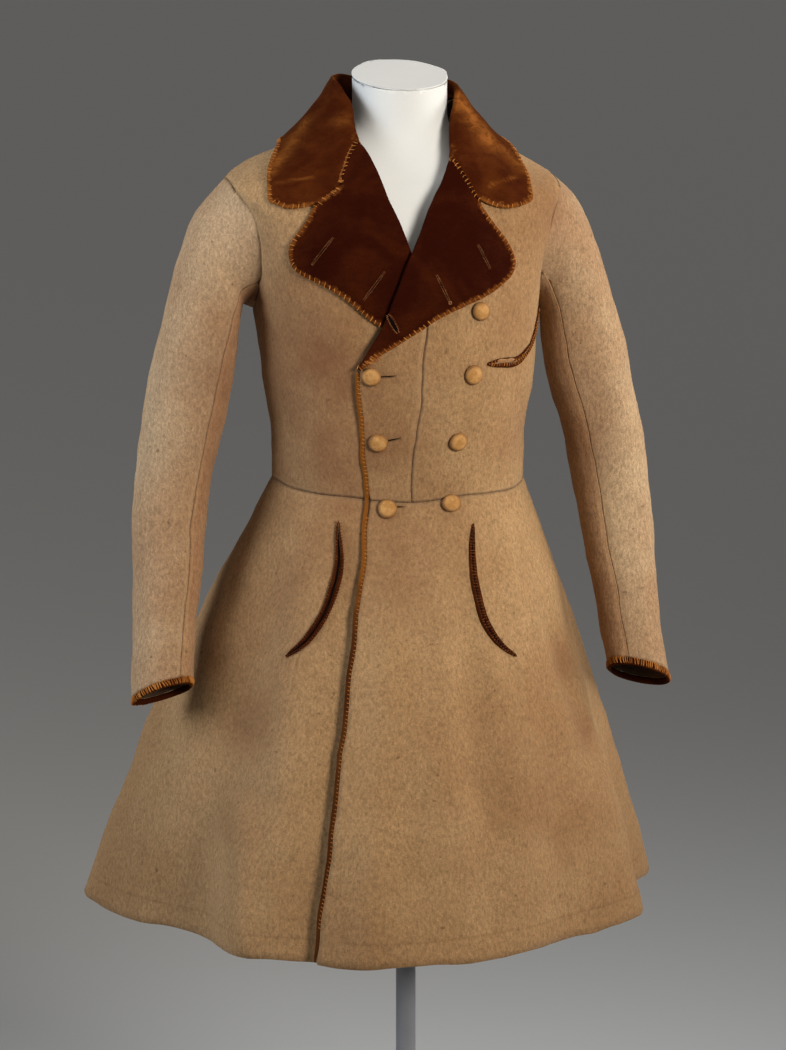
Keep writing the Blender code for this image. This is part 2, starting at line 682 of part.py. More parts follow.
def sleeve_rings(side):
    """Rings of (inner, outer) points from the armhole to the cuff."""
    loop = armhole_loop(side)
    base = np.array([on_bodice(*pair) for pair in loop])
    out = np.array([outward_at(on_bodice, *pair) for pair in loop])
    to_arm = unit_rows(base.mean(axis=0) - base)
    start = base + to_arm * ARMHOLE_GAP
    rings = [(start, start + out * WOOL)]
    rings += [sleeve_ring(side, row, len(loop)) for row in range(len(SLEEVE["twist"]))]
    return rings


def make_sleeves(cloth):
    for side, word in ((1, "left"), (-1, "right")):
        rings = sleeve_rings(side)
        inner = np.array([ring[0] for ring in rings]).transpose(1, 0, 2)
        outer = np.array([ring[1] for ring in rings]).transpose(1, 0, 2)
        count = len(inner)
        top = [i % count for i in range(HIND_SLEEVE_SEAM, count + FRONT_SLEEVE_SEAM + 1)]
        under = list(range(FRONT_SLEEVE_SEAM, HIND_SLEEVE_SEAM + 1))
        for kind, chosen in (("top", top), ("under", under)):
            edges = pulled_in(inner[chosen], SEAM_GAP), pulled_in(outer[chosen], SEAM_GAP)
            wall(f"{kind}_sleeve_{word}", *edges, cloth["wool"])
        down = unit(inner[:, -1].mean(axis=0) - inner[:, -2].mean(axis=0))
        upper, lower = down * SEAM_GAP, down * CUFF_EDGE
        swell = (outer[:, -1] - inner[:, -1]) * 0.2
        loops = [inner[:, -1] - swell + upper, outer[:, -1] + swell + upper]
        loops += [outer[:, -1] + swell + lower, inner[:, -1] - swell + lower]
        through_loops(f"cuff_edge_{word}", loops, cloth["edge_velvet"], closed=True)


# ---------------------------------------------------------------- turned-back pieces: lapels and collar
WRAP_STEPS = 4  # of the half turn at a fold
FOLD_GAP = 0.0013  # between the edge of a panel and the fold beside it
NECK_GAP = 0.0012  # between the neckline and the collar
LAPEL_ROWS = 12
LAPEL_SHARES = np.array([0.0, 0.10, 0.28, 0.52, 0.77, 1.0])  # of the way from the fold to the edge
COLLAR_ROWS = 11
STAND_STEPS = 2
STEP_STEPS = 3
FALL_LIFT = 0.0028  # how much higher the fall lies than a lapel
BRIDGE = 0.0065  # how far the fall stands off the hollow between neck and shoulder


def loft_at(tuck, place):
    """1 where a fold may stand up, falling to 0 where the left front presses it flat."""
    return 1 + tuck(place) / LAPEL_TUCK


def fold_radius(loft):
    return PLY_GAP / 2 + (ROLL_RADIUS - PLY_GAP / 2) * loft


def turned_lift(distance, loft):
    """How high a turned-back piece lies above its panel, this far from the fold."""
    beside = 2 * fold_radius(loft) - PLY_GAP
    hump = ROLL_HUMP * loft * (distance / ROLL_REACH) * math.exp(1 - distance / ROLL_REACH)
    return PLY_GAP + beside * math.exp(-distance / ROLL_REACH) + hump


def turned_row(before, after, pairs, tuck):
    """(inner, outer) points of one row of a turned-back piece, round its fold and then along the pairs.

    before and after are (turn, level) pairs on the fold line, on both sides of this row.
    """
    base, out = on_bodice(*pairs[0]), outward_at(on_bodice, *pairs[0])
    back = np.cross(out, unit(on_bodice(*after) - on_bodice(*before)))
    towards = on_bodice(*(pairs[0] + (pairs[-1] - pairs[0]) * 0.1)) - base
    back = unit(back if back @ towards > 0 else -back)
    radius = fold_radius(loft_at(tuck, base))
    centre = base + out * (tuck(base) + WOOL + radius) - back * FOLD_GAP
    inner, outer = [], []
    for i in range(WRAP_STEPS + 1):
        angle = math.pi * i / WRAP_STEPS
        ray = -out * math.cos(angle) - back * math.sin(angle)
        inner.append(centre + ray * radius)
        outer.append(centre + ray * (radius + VELVET))
    for pair in pairs[1:]:
        place, out = on_bodice(*pair), outward_at(on_bodice, *pair)
        distance = np.linalg.norm(place - base)
        lift = WOOL + tuck(place) + turned_lift(distance, loft_at(tuck, place))
        inner.append(place + out * lift)
        outer.append(place + out * (lift + VELVET))
    return inner, outer


def turned_wall(name, rows, finish):
    """A wall through rows of (inner, outer) points."""
    inner, outer = np.array([row[0] for row in rows]), np.array([row[1] for row in rows])
    wall(name, pulled_in(inner, SEAM_GAP), pulled_in(outer, SEAM_GAP), finish)


def side_tables(side):
    """(lapel, gorge, fold, rim, step) lines of one side, as (turn, level) pairs."""
    if side > 0:
        rows, gorge, fold, rim, step = LEFT_LAPEL, LEFT_GORGE, LEFT_FOLD, LEFT_RIM, LEFT_STEP
    else:
        rows, gorge, fold, rim, step = RIGHT_LAPEL, RIGHT_GORGE, RIGHT_FOLD, RIGHT_RIM, RIGHT_STEP
    roll = front_line(on_bodice, rows, "roll_x", "roll_height")
    edge = front_line(on_bodice, rows, "edge_x", "edge_height")
    gorge, step = front_line(on_bodice, gorge), front_line(on_bodice, step)
    roll[0] = gorge[0]
    edge[0] = step[0] = gorge[-1]
    fold = np.vstack([np.stack([fold["turn"] * side, fold["level"]], axis=1), gorge[:1]])
    rim = np.vstack([np.stack([rim["turn"] * side, rim["level"]], axis=1), step[-1:]])
    read = smooth_curve(np.arange(len(roll)), np.hstack([roll, edge]))
    lapel = np.array([read(s) for s in np.linspace(0, len(roll) - 1, LAPEL_ROWS + 1)])
    return lapel, gorge, evenly(fold, COLLAR_ROWS), evenly(rim, COLLAR_ROWS), step


def on_gorge(gorge):
    """The points of the gorge seam, which the lapel and the collar share."""
    read = smooth_curve(np.linspace(0, 1, len(gorge)), gorge)
    return np.array([read(share) for share in LAPEL_SHARES])


def lapel(name, side, tuck, finish):
    lines, gorge, fold, _, _ = side_tables(side)
    roll, edge = lines[:, :2], lines[:, 2:]
    top = on_gorge(gorge)
    foot = roll[-1] + (edge[-1] - roll[-1]) * LAPEL_SHARES[:, None]
    grid = patch(top, foot, roll, edge, LAPEL_SHARES)
    line = np.vstack([fold[-2], roll, roll[-1] + (roll[-1] - roll[-2])])
    rows = [turned_row(line[i], line[i + 2], grid[:, i], tuck) for i in range(len(roll))]
    turned_wall(name, rows, finish)


def collar_half(side):
    """Rows of (inner, outer) points of the collar, from the centre of the back to one gorge seam."""
    lines, gorge, fold, rim, step = side_tables(side)
    front = np.vstack([on_gorge(gorge), evenly(step, STEP_STEPS)[1:]])
    fall = patch(between(fold[0], rim[0], len(front) - 1), front, fold, rim)
    neck = evenly(neckline(side, gorge[0]), NECK_ROWS)[::-1]
    neck = evenly(np.vstack([between((side * 180, NECK_LEVEL), neck[0], 3), neck[1:]]), COLLAR_ROWS)
    line = np.vstack([mirrored(fold[1]), fold, lines[1, :2]])
    return [collar_row(line[i], line[i + 2], fall[:, i], neck[i]) for i in range(len(fold))]


def mirrored(pair):
    """The pair just across the centre of the back."""
    return np.array([360.0 * np.sign(pair[0]) - pair[0], pair[1]])


def collar_row(before, after, fall, neck):
    """(inner, outer) points from the neck seam up the stand, round the fold and down the fall."""
    lower, upper = on_bodice(*neck), on_bodice(*fall[0])
    height = np.linalg.norm(upper - lower)
    stand_inner, stand_outer = [], []
    for share in np.arange(STAND_STEPS) / STAND_STEPS:
        pair = neck + (fall[0] - neck) * share
        place, out = on_bodice(*pair), outward_at(on_bodice, *pair)
        raised = place + unit(upper - lower + [0, 0, 1e-6]) * NECK_GAP * (1 - share)
        stand_inner.append(raised + out * WOOL)
        stand_outer.append(raised + out * (WOOL - VELVET))
    inner, outer = turned_row(before, after, fall, no_tuck)
    steps = len(fall) - 1
    for k in range(1, steps + 1):
        bulge = (BRIDGE * math.sin(math.pi * k / steps) + FALL_LIFT) * min(height / 0.025, 1.0)
        out = outward_at(on_bodice, *fall[k]) * bulge
        inner[WRAP_STEPS + k] = inner[WRAP_STEPS + k] + out
        outer[WRAP_STEPS + k] = outer[WRAP_STEPS + k] + out
    return stand_inner + inner, stand_outer + outer


def make_collar_and_lapels(cloth):
    lapel("lapel_left", 1, no_tuck, cloth["lapel_velvet"])
    lapel("lapel_right", -1, right_tuck, cloth["lapel_velvet"])
    turned_wall("collar", collar_half(-1)[::-1] + collar_half(1)[1:], cloth["collar_velvet"])


# ---------------------------------------------------------------- velvet edges, pockets and buttons
def binding(name, surface, line, finish):
    """A padded velvet strip beyond the cut edge of the left front; line runs along that edge."""
    places = [surface(*pair) for pair in line]
    places[0] = places[0] + unit(places[1] - places[0]) * SEAM_GAP
    places[-1] = places[-1] + unit(places[-2] - places[-1]) * SEAM_GAP
    section = (
        (SEAM_GAP, -0.0002),
        (BINDING_WIDTH, 0.0004),
        (BINDING_WIDTH, WOOL - 0.0004),
        (SEAM_GAP, WOOL + 0.0008),
    )
    loops = []
    for i, pair in enumerate(line):
        out = outward_at(surface, *pair)
        beyond = unit(surface(pair[0] - 0.5, pair[1]) - surface(pair[0] + 0.5, pair[1]))
        loops.append([places[i] + beyond * far + out * high for far, high in section])
    return through_loops(name, loops, finish)


def welt(name, surface, rows, finish):
    """A crescent of velvet lips round an open slit, lying on a panel."""
    read = smooth_curve(np.arange(len(rows["x"])), np.stack([rows["x"], rows["height"], rows["half"]], axis=1))
    samples = np.array([read(s) for s in np.linspace(0, len(rows["x"]) - 1, WELT_STEPS + 1)]) * MM
    centre, half = samples[:, :2], samples[:, 2:]
    along = unit_rows(np.gradient(centre, axis=0))
    beside = np.stack([along[:, 1], -along[:, 0]], axis=1)
    slit_centre, slit_half = centre.copy(), np.minimum(half - 0.0011, POCKET_SLIT)
    slit_centre[0] += along[0] * 0.002
    slit_centre[-1] -= along[-1] * 0.002
    rim = np.vstack([centre + beside * half, (centre - beside * half)[::-1]])
    slit = np.vstack([slit_centre + beside * slit_half, (slit_centre - beside * slit_half)[::-1]])
    low, high = WOOL + 2 * SEAM_GAP, WOOL + 2 * SEAM_GAP + WELT_HEIGHT
    loops = []
    for outline, lift in ((rim, low), (rim, high), (slit, high), (slit, low)):
        loops.append([lifted(surface, *in_front(surface, *place), lift) for place in outline])
    return through_loops(name, loops, finish, closed=True)


def on_cloth(panels, place, out):
    """The point where a line straight in through a place meets the outermost of the named panels."""
    hits = []
    for name in panels:
        mesh = bpy.data.objects[name].data
        tree = BVHTree.FromPolygons([v.co for v in mesh.vertices], [p.vertices for p in mesh.polygons])
        found = tree.ray_cast(Vector(place + out * 0.02), Vector(-out))
        if found[0] is not None:
            hits.append(np.array(found[0]))
    return max(hits, key=lambda hit: hit @ out)


def button(name, panels, place, out, finish):
    """A cloth-covered button: a domed disc on a short neck, just clear of the cloth below it."""
    side = unit(np.cross(out, [0.0, 0.0, 1.0]))
    up = np.cross(side, out)
    radius = BUTTON_DIAMETER / 2
    turns = np.arange(BUTTON_POINTS) * 2 * math.pi / BUTTON_POINTS
    around = np.cos(turns)[:, None] * side + np.sin(turns)[:, None] * up
    foot = [on_cloth(panels, place + ray * radius * NECK_SHARE, out) @ out for ray in around[::3]]
    place = place + out * (max(foot) - place @ out + SEAM_GAP)
    loops = [place + out * height * BUTTON_HEIGHT + around * radius * share for share, height in BUTTON_PROFILE]
    return through_loops(name, loops, finish)


def make_trims(cloth):
    edge = front_line(on_bodice, FRONT_EDGE)
    edge[0, 1] = WAIST_LEVEL
    binding("front_binding_bodice", on_bodice, evenly(edge, EDGE_ROWS), cloth["edge_velvet"])
    binding("front_binding_skirt", on_skirt, skirt_line(SKIRT_EDGE), cloth["edge_velvet"])
    welt("skirt_pocket_left", on_skirt, LEFT_POCKET, cloth["edge_velvet"])
    welt("skirt_pocket_right", on_skirt, RIGHT_POCKET, cloth["edge_velvet"])
    welt("chest_pocket", on_bodice, CHEST_POCKET, cloth["edge_velvet"])
    for i, x in enumerate(BUTTONS["x"]):
        surface = on_skirt if BUTTONS["on_skirt"][i] else on_bodice
        pair = in_front(surface, x * MM, BUTTONS["height"][i] * MM)
        row = int(BUTTONS["row"][i])
        column = "right" if x < 0 else "left"
        place, out = surface(*pair), outward_at(surface, *pair)
        button(f"button_{column}_{row}", BUTTON_PANELS, place, out, cloth["covered_button"])


# ---------------------------------------------------------------- the dress form and its stand
# How far the form's skin lies inside the bodice: in front, at the sides and behind.
FORM_INSET = table(
    "level front side back",
    (1.054, 0.013, 0.008, 0.008),
    (1.190, 0.016, 0.012, 0.010),
    (1.335, 0.016, 0.014, 0.010),
    (1.400, 0.015, 0.008, 0.020),
    (1.430, 0.014, 0.0045, 0.021),
    (1.450, 0.013, 0.0045, 0.021),
    (1.475, 0.012, 0.007, 0.017),
)
# The form below the coat's waist.
FORM_HIPS = table(
    "height half_width middle_y half_depth",
    (0.930, 0.120, 0.040, 0.085), (0.940, 0.140, 0.038, 0.100), (0.975, 0.150, 0.035, 0.106),
    (1.015, 0.147, 0.033, 0.100),
)
FORM_POINTS = 28
FORM_LEVELS = (1.055, 1.100, 1.145, 1.190, 1.240, 1.290, 1.335, 1.370, 1.395, 1.410, 1.425, 1.440, 1.458, 1.476)


def ellipse_loop(half_width, middle_y, half_depth, height):
    loop = []
    for i in range(FORM_POINTS):
        angle = 2 * math.pi * i / FORM_POINTS
        loop.append(np.array([half_width * math.sin(angle), middle_y - half_depth * math.cos(angle), height]))
    return loop


def neck_loop(distance, radius, lean):
    """A ring of the neck, this far below its top plane; lean is the share of the top's tilt."""
    tilt = math.radians(NECK_TOP_TILT * lean)
    axis = np.array([0.0, -math.sin(tilt), math.cos(tilt)])
    ahead = np.array([0.0, -math.cos(tilt), -math.sin(tilt)])
    middle = np.array([0.0, NECK_CENTRE_Y, NECK_TOP_HEIGHT]) - axis * distance
    loop = []
    for i in range(FORM_POINTS):
        angle = 2 * math.pi * i / FORM_POINTS
        loop.append(middle + (np.array([1.0, 0, 0]) * math.sin(angle) + ahead * math.cos(angle)) * radius)
    return loop


def make_form(cloth):
    inset = curve_of(FORM_INSET, "level", "front", "side", "back")
    loops = [
        ellipse_loop(*[FORM_HIPS[name][i] for name in ("half_width", "middle_y", "half_depth", "height")])
        for i in range(len(FORM_HIPS["height"]))
    ]
    for level in FORM_LEVELS:
        loop = []
        for i in range(FORM_POINTS):
            turn = 360 * i / FORM_POINTS
            front, side, back = inset(level)
            cosine = math.cos(math.radians(turn))
            end = front if cosine > 0 else back
            loop.append(lifted(on_bodice, turn, level, -(side + (end - side) * cosine**2)))
        loops.append(loop)
    loops += [neck_loop(0.036, NECK_RADIUS + 0.001, 0.7), neck_loop(0.022, NECK_RADIUS, 0.9)]
    loops.append(neck_loop(LID_THICKNESS + SEAM_GAP, NECK_RADIUS, 1.0))
    through_loops("form_torso", loops, cloth["form_cloth"])
    lid = [
        neck_loop(LID_THICKNESS, NECK_RADIUS, 1),
        neck_loop(0.0015, NECK_RADIUS, 1),
        neck_loop(0, NECK_RADIUS - 0.0015, 1),
    ]
    through_loops("form_neck_lid", lid, cloth["form_cloth"])


def turned(name, profile, finish, points=48, closed=False):
    """A round body from (radius, height) pairs, bottom to top, standing on the origin's axis."""
    loops = []
    for radius, height in profile:
        turns = [2 * math.pi * i / points for i in range(points)]
        loops.append([np.array([radius * math.cos(a), radius * math.sin(a), height]) for a in turns])
    return through_loops(name, loops, finish, closed)


def make_stand(cloth):
    edge = 0.003
    plate = (
        (BASE_RADIUS - edge, 0.0),
        (BASE_RADIUS, edge),
        (BASE_RADIUS, BASE_HEIGHT - edge),
        (BASE_RADIUS - edge, BASE_HEIGHT),
    )
    turned("stand_base", plate, cloth["grey_metal"])
    foot = BASE_HEIGHT + SEAM_GAP
    pole = ((POLE_RADIUS, foot), (POLE_RADIUS, FORM_FLOOR - SEAM_GAP))
    turned("stand_pole", pole, cloth["grey_metal"], points=24)
    bore = POLE_RADIUS + SEAM_GAP
    rings = (
        (bore, foot),
        (FLANGE_RADIUS, foot),
        (FLANGE_RADIUS, foot + 0.005),
        (0.020, foot + 0.010),
        (0.018, foot + FLANGE_HEIGHT),
        (bore, foot + FLANGE_HEIGHT),
    )
    turned("stand_flange", rings, cloth["grey_metal"], points=24, closed=True)


def make_finishes():
    made = {}
    for name, (colour, roughness, metallic) in FINISHES.items():
        finish = bpy.data.materials.new(name)
        finish.use_nodes = True
        shader = finish.node_tree.nodes["Principled BSDF"]
        shader.inputs["Base Color"].default_value = (*colour, 1.0)
        shader.inputs["Roughness"].default_value = roughness
        shader.inputs["Metallic"].default_value = metallic
        made[name] = finish
    return made


def main():
    for old in list(bpy.data.objects):
        bpy.data.objects.remove(old, do_unlink=True)
    cloth = make_finishes()
    make_bodice(cloth)
    make_skirt(cloth)
    make_sleeves(cloth)
    make_collar_and_lapels(cloth)
    make_trims(cloth)
    make_form(cloth)
    make_stand(cloth)


main()
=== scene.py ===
# %% [markdown]
# # A frock coat in brown wool and velvet, on a dress form
# The fixed frame holds every piece of the coat at its real size, as coarse walls of cloth.
# It could be shown as it is, but its facets would read as cardboard. So each wall is copied, smoothed
# and given the puckers, folds, stitches and nap that cloth has, and stands for its own piece.

# %% Load the frame
import math
import random

import bmesh
import bpy
import numpy as np
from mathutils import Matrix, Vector
from mathutils.bvhtree import BVHTree
from mathutils.kdtree import KDTree


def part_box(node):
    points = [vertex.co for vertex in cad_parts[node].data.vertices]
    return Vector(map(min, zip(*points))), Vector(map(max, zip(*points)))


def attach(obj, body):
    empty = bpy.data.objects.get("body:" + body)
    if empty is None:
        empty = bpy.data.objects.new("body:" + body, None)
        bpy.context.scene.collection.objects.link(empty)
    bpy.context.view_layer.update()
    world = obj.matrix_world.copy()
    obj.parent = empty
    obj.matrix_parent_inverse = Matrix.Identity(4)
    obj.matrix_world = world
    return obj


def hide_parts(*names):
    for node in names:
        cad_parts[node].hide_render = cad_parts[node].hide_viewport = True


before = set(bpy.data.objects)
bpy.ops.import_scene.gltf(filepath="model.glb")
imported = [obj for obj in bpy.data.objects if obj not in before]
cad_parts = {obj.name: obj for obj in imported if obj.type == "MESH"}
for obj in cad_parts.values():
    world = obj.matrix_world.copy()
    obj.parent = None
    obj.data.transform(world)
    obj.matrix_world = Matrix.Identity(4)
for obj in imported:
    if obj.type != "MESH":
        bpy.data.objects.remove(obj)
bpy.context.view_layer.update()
MM = 0.001

# %% [markdown]
# ## Smoothing a wall of cloth
# A wall arrives as loose triangles. Merging its doubles closes it again, and joining the triangles in
# pairs gives back the grid that subdivision likes. The cut edges are creased, so that a hem stays a hem.
# Subdivision pulls a surface inwards on bends. Moving the cage out by as much as its corners fell short
# brings the smooth surface back to the real size.

# %% The cage of a piece
CUT_EDGE = math.radians(56)  # two faces that meet more sharply than this are at a cut edge
DOUBLES_WITHIN = 0.02 * MM
PAIR_BEND, PAIR_SHAPE = math.radians(50), math.radians(70)  # how bent and how skew a pair of triangles may be


def quad_cage(node):
    """A bmesh of one piece, closed, in four-sided faces."""
    bm = bmesh.new()
    bm.from_mesh(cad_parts[node].data)
    bmesh.ops.remove_doubles(bm, verts=bm.verts, dist=DOUBLES_WITHIN)
    bmesh.ops.join_triangles(bm, faces=bm.faces, angle_face_threshold=PAIR_BEND, angle_shape_threshold=PAIR_SHAPE)
    bm.normal_update()
    return bm


def spread(bm, barred):
    """The faces in sets that touch without crossing a cut edge or a barred face, the largest set first."""
    sharp = {edge for edge in bm.edges if edge.calc_face_angle(0.0) > CUT_EDGE}
    seen, sides = set(barred), []
    for face in bm.faces:
        if face in seen:
            continue
        side, waiting = {face}, [face]
        seen.add(face)
        while waiting:
            for edge in waiting.pop().edges:
                for other in edge.link_faces if edge not in sharp else ():
                    if other not in seen:
                        seen.add(other)
                        side.add(other)
                        waiting.append(other)
        sides.append(side)
    return sorted(sides, key=lambda side: -sum(face.calc_area() for face in side))


collar_cage = quad_cage("collar")
parts = [len(part) for part in spread(collar_cage, ())]
print("the collar's cage:", len(collar_cage.faces), "faces, in parts of", parts)
collar_cage.free()

# %% [markdown]
# A wall has a face side, a lining side and a rim between them. Later steps need to know which is which:
# the lining is another colour, and stitches go round the face side only. A face with no cloth close
# behind it is on the rim. The side that looks away from the body is the face side, and for the pieces
# that are turned back a ray from outside the coat settles it.

# %% The sides of a wall
WALL_MOST = 3.6 * MM  # a wall is thinner than this, so a face with more cloth behind it is on a rim
SKIN = 0.3 * MM  # how far under a face the look through the wall begins
FACE_SIDE, LINING_SIDE = 1, 2  # the rim is 0
BODY_AXIS = Vector((0.0, 0.05, 1.15))
SEEN_FROM = {  # for the turned-back pieces: a place, and a way, from which the face side is met first
    "collar": (Vector((0.004, 0.6, 1.48)), Vector((0.0, -1.0, 0.0))),
    "lapel_left": (Vector((0.03, -0.6, 1.31)), Vector((0.0, 1.0, 0.0))),
    "lapel_right": (Vector((-0.09, -0.6, 1.31)), Vector((0.0, 1.0, 0.0))),
}


def outwardness(side, centre):
    """How much of a side looks away from a point."""
    return sum(face.normal.dot((face.calc_center_median() - centre).normalized()) * face.calc_area() for face in side)


def mark_sides(bm, node):
    """Numbers the faces of a wall by the side that they are on."""
    side = bm.faces.layers.int.new("side")
    tree = BVHTree.FromBMesh(bm)
    bm.faces.ensure_lookup_table()
    rim = set()
    for face in bm.faces:
        through = tree.ray_cast(face.calc_center_median() - face.normal * SKIN, -face.normal)[3]
        if through is None or through > WALL_MOST:
            rim.add(face)
    first, second = spread(bm, rim)[:2]
    if node in SEEN_FROM:
        start, way = SEEN_FROM[node]
        if bm.faces[tree.ray_cast(start, way)[2]] in second:
            first, second = second, first
    else:
        centre = BODY_AXIS
        if "sleeve" in node:
            word = node.split("_")[-1]
            corners = [corner for kind in ("top", "under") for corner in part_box(f"{kind}_sleeve_{word}")]
            centre = sum(corners, Vector()) / len(corners)
        if outwardness(second, centre) > outwardness(first, centre):
            first, second = second, first
    for face in first:
        face[side] = FACE_SIDE
    for face in second:
        face[side] = LINING_SIDE
    rest = len(bm.faces) - len(first) - len(second)
    print(node, "faces outside, inside, on the rim:", len(first), len(second), rest)


# %% Creases and smoothing
FIT_ROUNDS = 2
FIT_MOST = 0.35 * MM  # how far the cage of a soft trim may move, so that its ends stay blunt
FAR = 1.0  # metres: further than anything
TINY = 1e-9  # keeps a division from failing where a length is nothing


def crease(bm, crispness):
    """Marks the cut edges of a cage, so that smoothing keeps them."""
    side = bm.faces.layers.int.get("side")
    layer = bm.edges.layers.float.get("crease_edge") or bm.edges.layers.float.new("crease_edge")
    for edge in bm.edges:
        apart = side is not None and len({face[side] for face in edge.link_faces}) > 1
        edge[layer] = crispness if apart or edge.calc_face_angle(0.0) > CUT_EDGE else 0.0


def subdivided(mesh, levels):
    """A new mesh: this one, subdivided."""
    carrier = bpy.data.objects.new("carrier", mesh)
    bpy.context.scene.collection.objects.link(carrier)
    modifier = carrier.modifiers.new("smooth", "SUBSURF")
    modifier.levels = modifier.render_levels = levels
    bpy.context.view_layer.update()
    made = bpy.data.meshes.new_from_object(carrier.evaluated_get(bpy.context.evaluated_depsgraph_get()))
    bpy.data.objects.remove(carrier)
    return made


def points_of(mesh):
    """The points of a mesh, as an array."""
    flat = np.empty(len(mesh.vertices) * 3, np.float32)
    mesh.vertices.foreach_get("co", flat)
    return flat.reshape(-1, 3).astype(float)


def set_points(mesh, points):
    """Moves the points of a mesh to these places."""
    mesh.vertices.foreach_set("co", np.asarray(points, np.float32).ravel())
    mesh.update()


def smooth_copy(node, levels, crispness=1.0):
    """An object named as its node with the suffix _cloth: the wall, smooth and at its real size."""
    cage = bpy.data.meshes.new(node + "_cage")
    bm = quad_cage(node)
    if node in WALLS:
        mark_sides(bm, node)
    crease(bm, crispness)
    bm.to_mesh(cage)
    bm.free()
    wanted = points_of(cage)
    most = FAR if crispness == 1.0 else FIT_MOST
    for _ in range(FIT_ROUNDS):
        reached = points_of(subdivided(cage, 1))[: len(wanted)]
        step = points_of(cage) - reached
        short = np.linalg.norm(step, axis=1, keepdims=True)
        set_points(cage, wanted + step * np.minimum(1.0, most / np.maximum(short, TINY)))
    mesh = subdivided(cage, levels)
    mesh.name = node + "_cloth"
    mesh.shade_smooth()
    piece = bpy.data.objects.new(node + "_cloth", mesh)
    bpy.context.scene.collection.objects.link(piece)
    return piece


# %% Smooth copies of the coat's pieces
SMOOTH_LEVELS = 3
SOFT_EDGE = 0.25  # how crisp the edges of padded trims and buttons stay, out of 1
WOOL_NODES = (
    "forepart_left forepart_right lapel_strip_left side_body_left side_body_right back_left back_right "
    "skirt_left skirt_right back_skirt_left back_skirt_right "
    "top_sleeve_left top_sleeve_right under_sleeve_left under_sleeve_right"
).split()
VELVET_NODES = "collar lapel_left lapel_right".split()
WALLS = WOOL_NODES + VELVET_NODES
TRIM_NODES = (
    "front_binding_bodice front_binding_skirt skirt_pocket_left skirt_pocket_right chest_pocket "
    "cuff_edge_left cuff_edge_right"
).split()
BUTTON_NODES = [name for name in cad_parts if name.startswith("button_")]

cloth = {}
for node in WALLS:
    cloth[node] = smooth_copy(node, SMOOTH_LEVELS)
for node in TRIM_NODES + BUTTON_NODES:
    cloth[node] = smooth_copy(node, SMOOTH_LEVELS, SOFT_EDGE)
for node, piece in cloth.items():
    print(node, len(piece.data.polygons), "faces")

# %% [markdown]
# ## Finding the seams and the free edges
# Cloth looks sewn because it dips where two pieces meet and swells a little beside the dip.
# To make that, every point of a wall learns how far it is from the nearest seam, and how far from the
# nearest free edge. A rim point is on a seam if another piece's rim is within a few millimetres of it.
# Both distances are stored as attributes, so that the materials can darken seams and wear edges too.

# %% Points along the rims
RIM_STEP = 1.5 * MM


def sides_of(mesh):
    """The number of the side that each face is on."""
    numbers = np.zeros(len(mesh.polygons), np.int32)
    mesh.attributes["side"].data.foreach_get("value", numbers)
    return numbers


def rim_points(mesh):
    """Points close together along the edges that part the sides of a wall from its rim."""
    numbers = sides_of(mesh)
    met = {}
    for polygon, number in zip(mesh.polygons, numbers):
        for key in polygon.edge_keys:
            met.setdefault(key, set()).add(int(number))
    points = []
    for (a, b), numbers in met.items():
        if len(numbers) > 1:
            start, end = mesh.vertices[a].co, mesh.vertices[b].co
            count = math.ceil((end - start).length / RIM_STEP)
            points += [start.lerp(end, (number + 0.5) / count) for number in range(count)]
    return points


def tree_of(points):
    """A tree that finds the nearest of some points."""
    tree = KDTree(max(len(points), 1))
    for i, point in enumerate(points):
        tree.insert(point, i)
    tree.balance()
    return tree


def distances(mesh, tree, count):
    """How far each point of a mesh is from the nearest point in a tree."""
    if count == 0:
        return np.full(len(mesh.vertices), FAR)
    return np.array([tree.find(vertex.co)[2] for vertex in mesh.vertices])


def store(mesh, name, values):
    """Keeps a value for each point of a mesh, as an attribute that a material can read."""
    attribute = mesh.attributes.new(name, "FLOAT", "POINT")
    attribute.data.foreach_set("value", np.asarray(values, np.float32))


rims = {node: rim_points(cloth[node].data) for node in WALLS}
print("rim points in all:", sum(len(points) for points in rims.values()))

# %% Distances from seams and edges
SEAM_NEAR = 4.0 * MM
ROLL_NEAR = 7.0 * MM  # a lapel's rim this close to the front's rim is its roll, which isn't worn
trees = {node: tree_of(points) for node, points in rims.items()}
bounds_of = {node: (np.min(points, axis=0), np.max(points, axis=0)) for node, points in rims.items()}
ROLLS_OVER = {"lapel_left": ("forepart_left", "lapel_strip_left"), "lapel_right": ("forepart_right",)}
seam_distance, beside = {}, {}
for node in WALLS:
    low, high = bounds_of[node]
    others = [
        other
        for other in rims
        if other != node
        and (other in WOOL_NODES) == (node in WOOL_NODES)
        and np.all(bounds_of[other][0] < high + SEAM_NEAR)
        and np.all(bounds_of[other][1] > low - SEAM_NEAR)
    ]
    seam, free = [], []
    for point in rims[node]:
        meets = any(trees[other].find(point)[2] < SEAM_NEAR for other in others)
        (seam if meets else free).append(point)
    for front in ROLLS_OVER.get(node, ()):
        free = [point for point in free if trees[front].find(point)[2] > ROLL_NEAR]
    mesh = cloth[node].data
    seam_distance[node] = distances(mesh, tree_of(seam), len(seam))
    store(mesh, "seam", seam_distance[node])
    store(mesh, "edge", distances(mesh, tree_of(free), len(free)))
    print(node, "rim points on a seam:", len(seam), "and free:", len(free))
    beside[node] = others

# %% [markdown]
# ## Slow waves
# Worn wool is never quite even. Slow waves of three lengths carry the whole coat along. They are the
# same for every piece at one place, so no seam opens.

# %% Slow waves
def normals_of(mesh):
    """The way out of the surface at each point of a mesh."""
    flat = np.empty(len(mesh.vertices) * 3, np.float32)
    mesh.vertices.foreach_get("normal", flat)
    return flat.reshape(-1, 3).astype(float)


def gauss(distance, width):
    """A bell curve: 1 at no distance, about a third at one width, and next to nothing at two."""
    return np.exp(-((distance / width) ** 2))


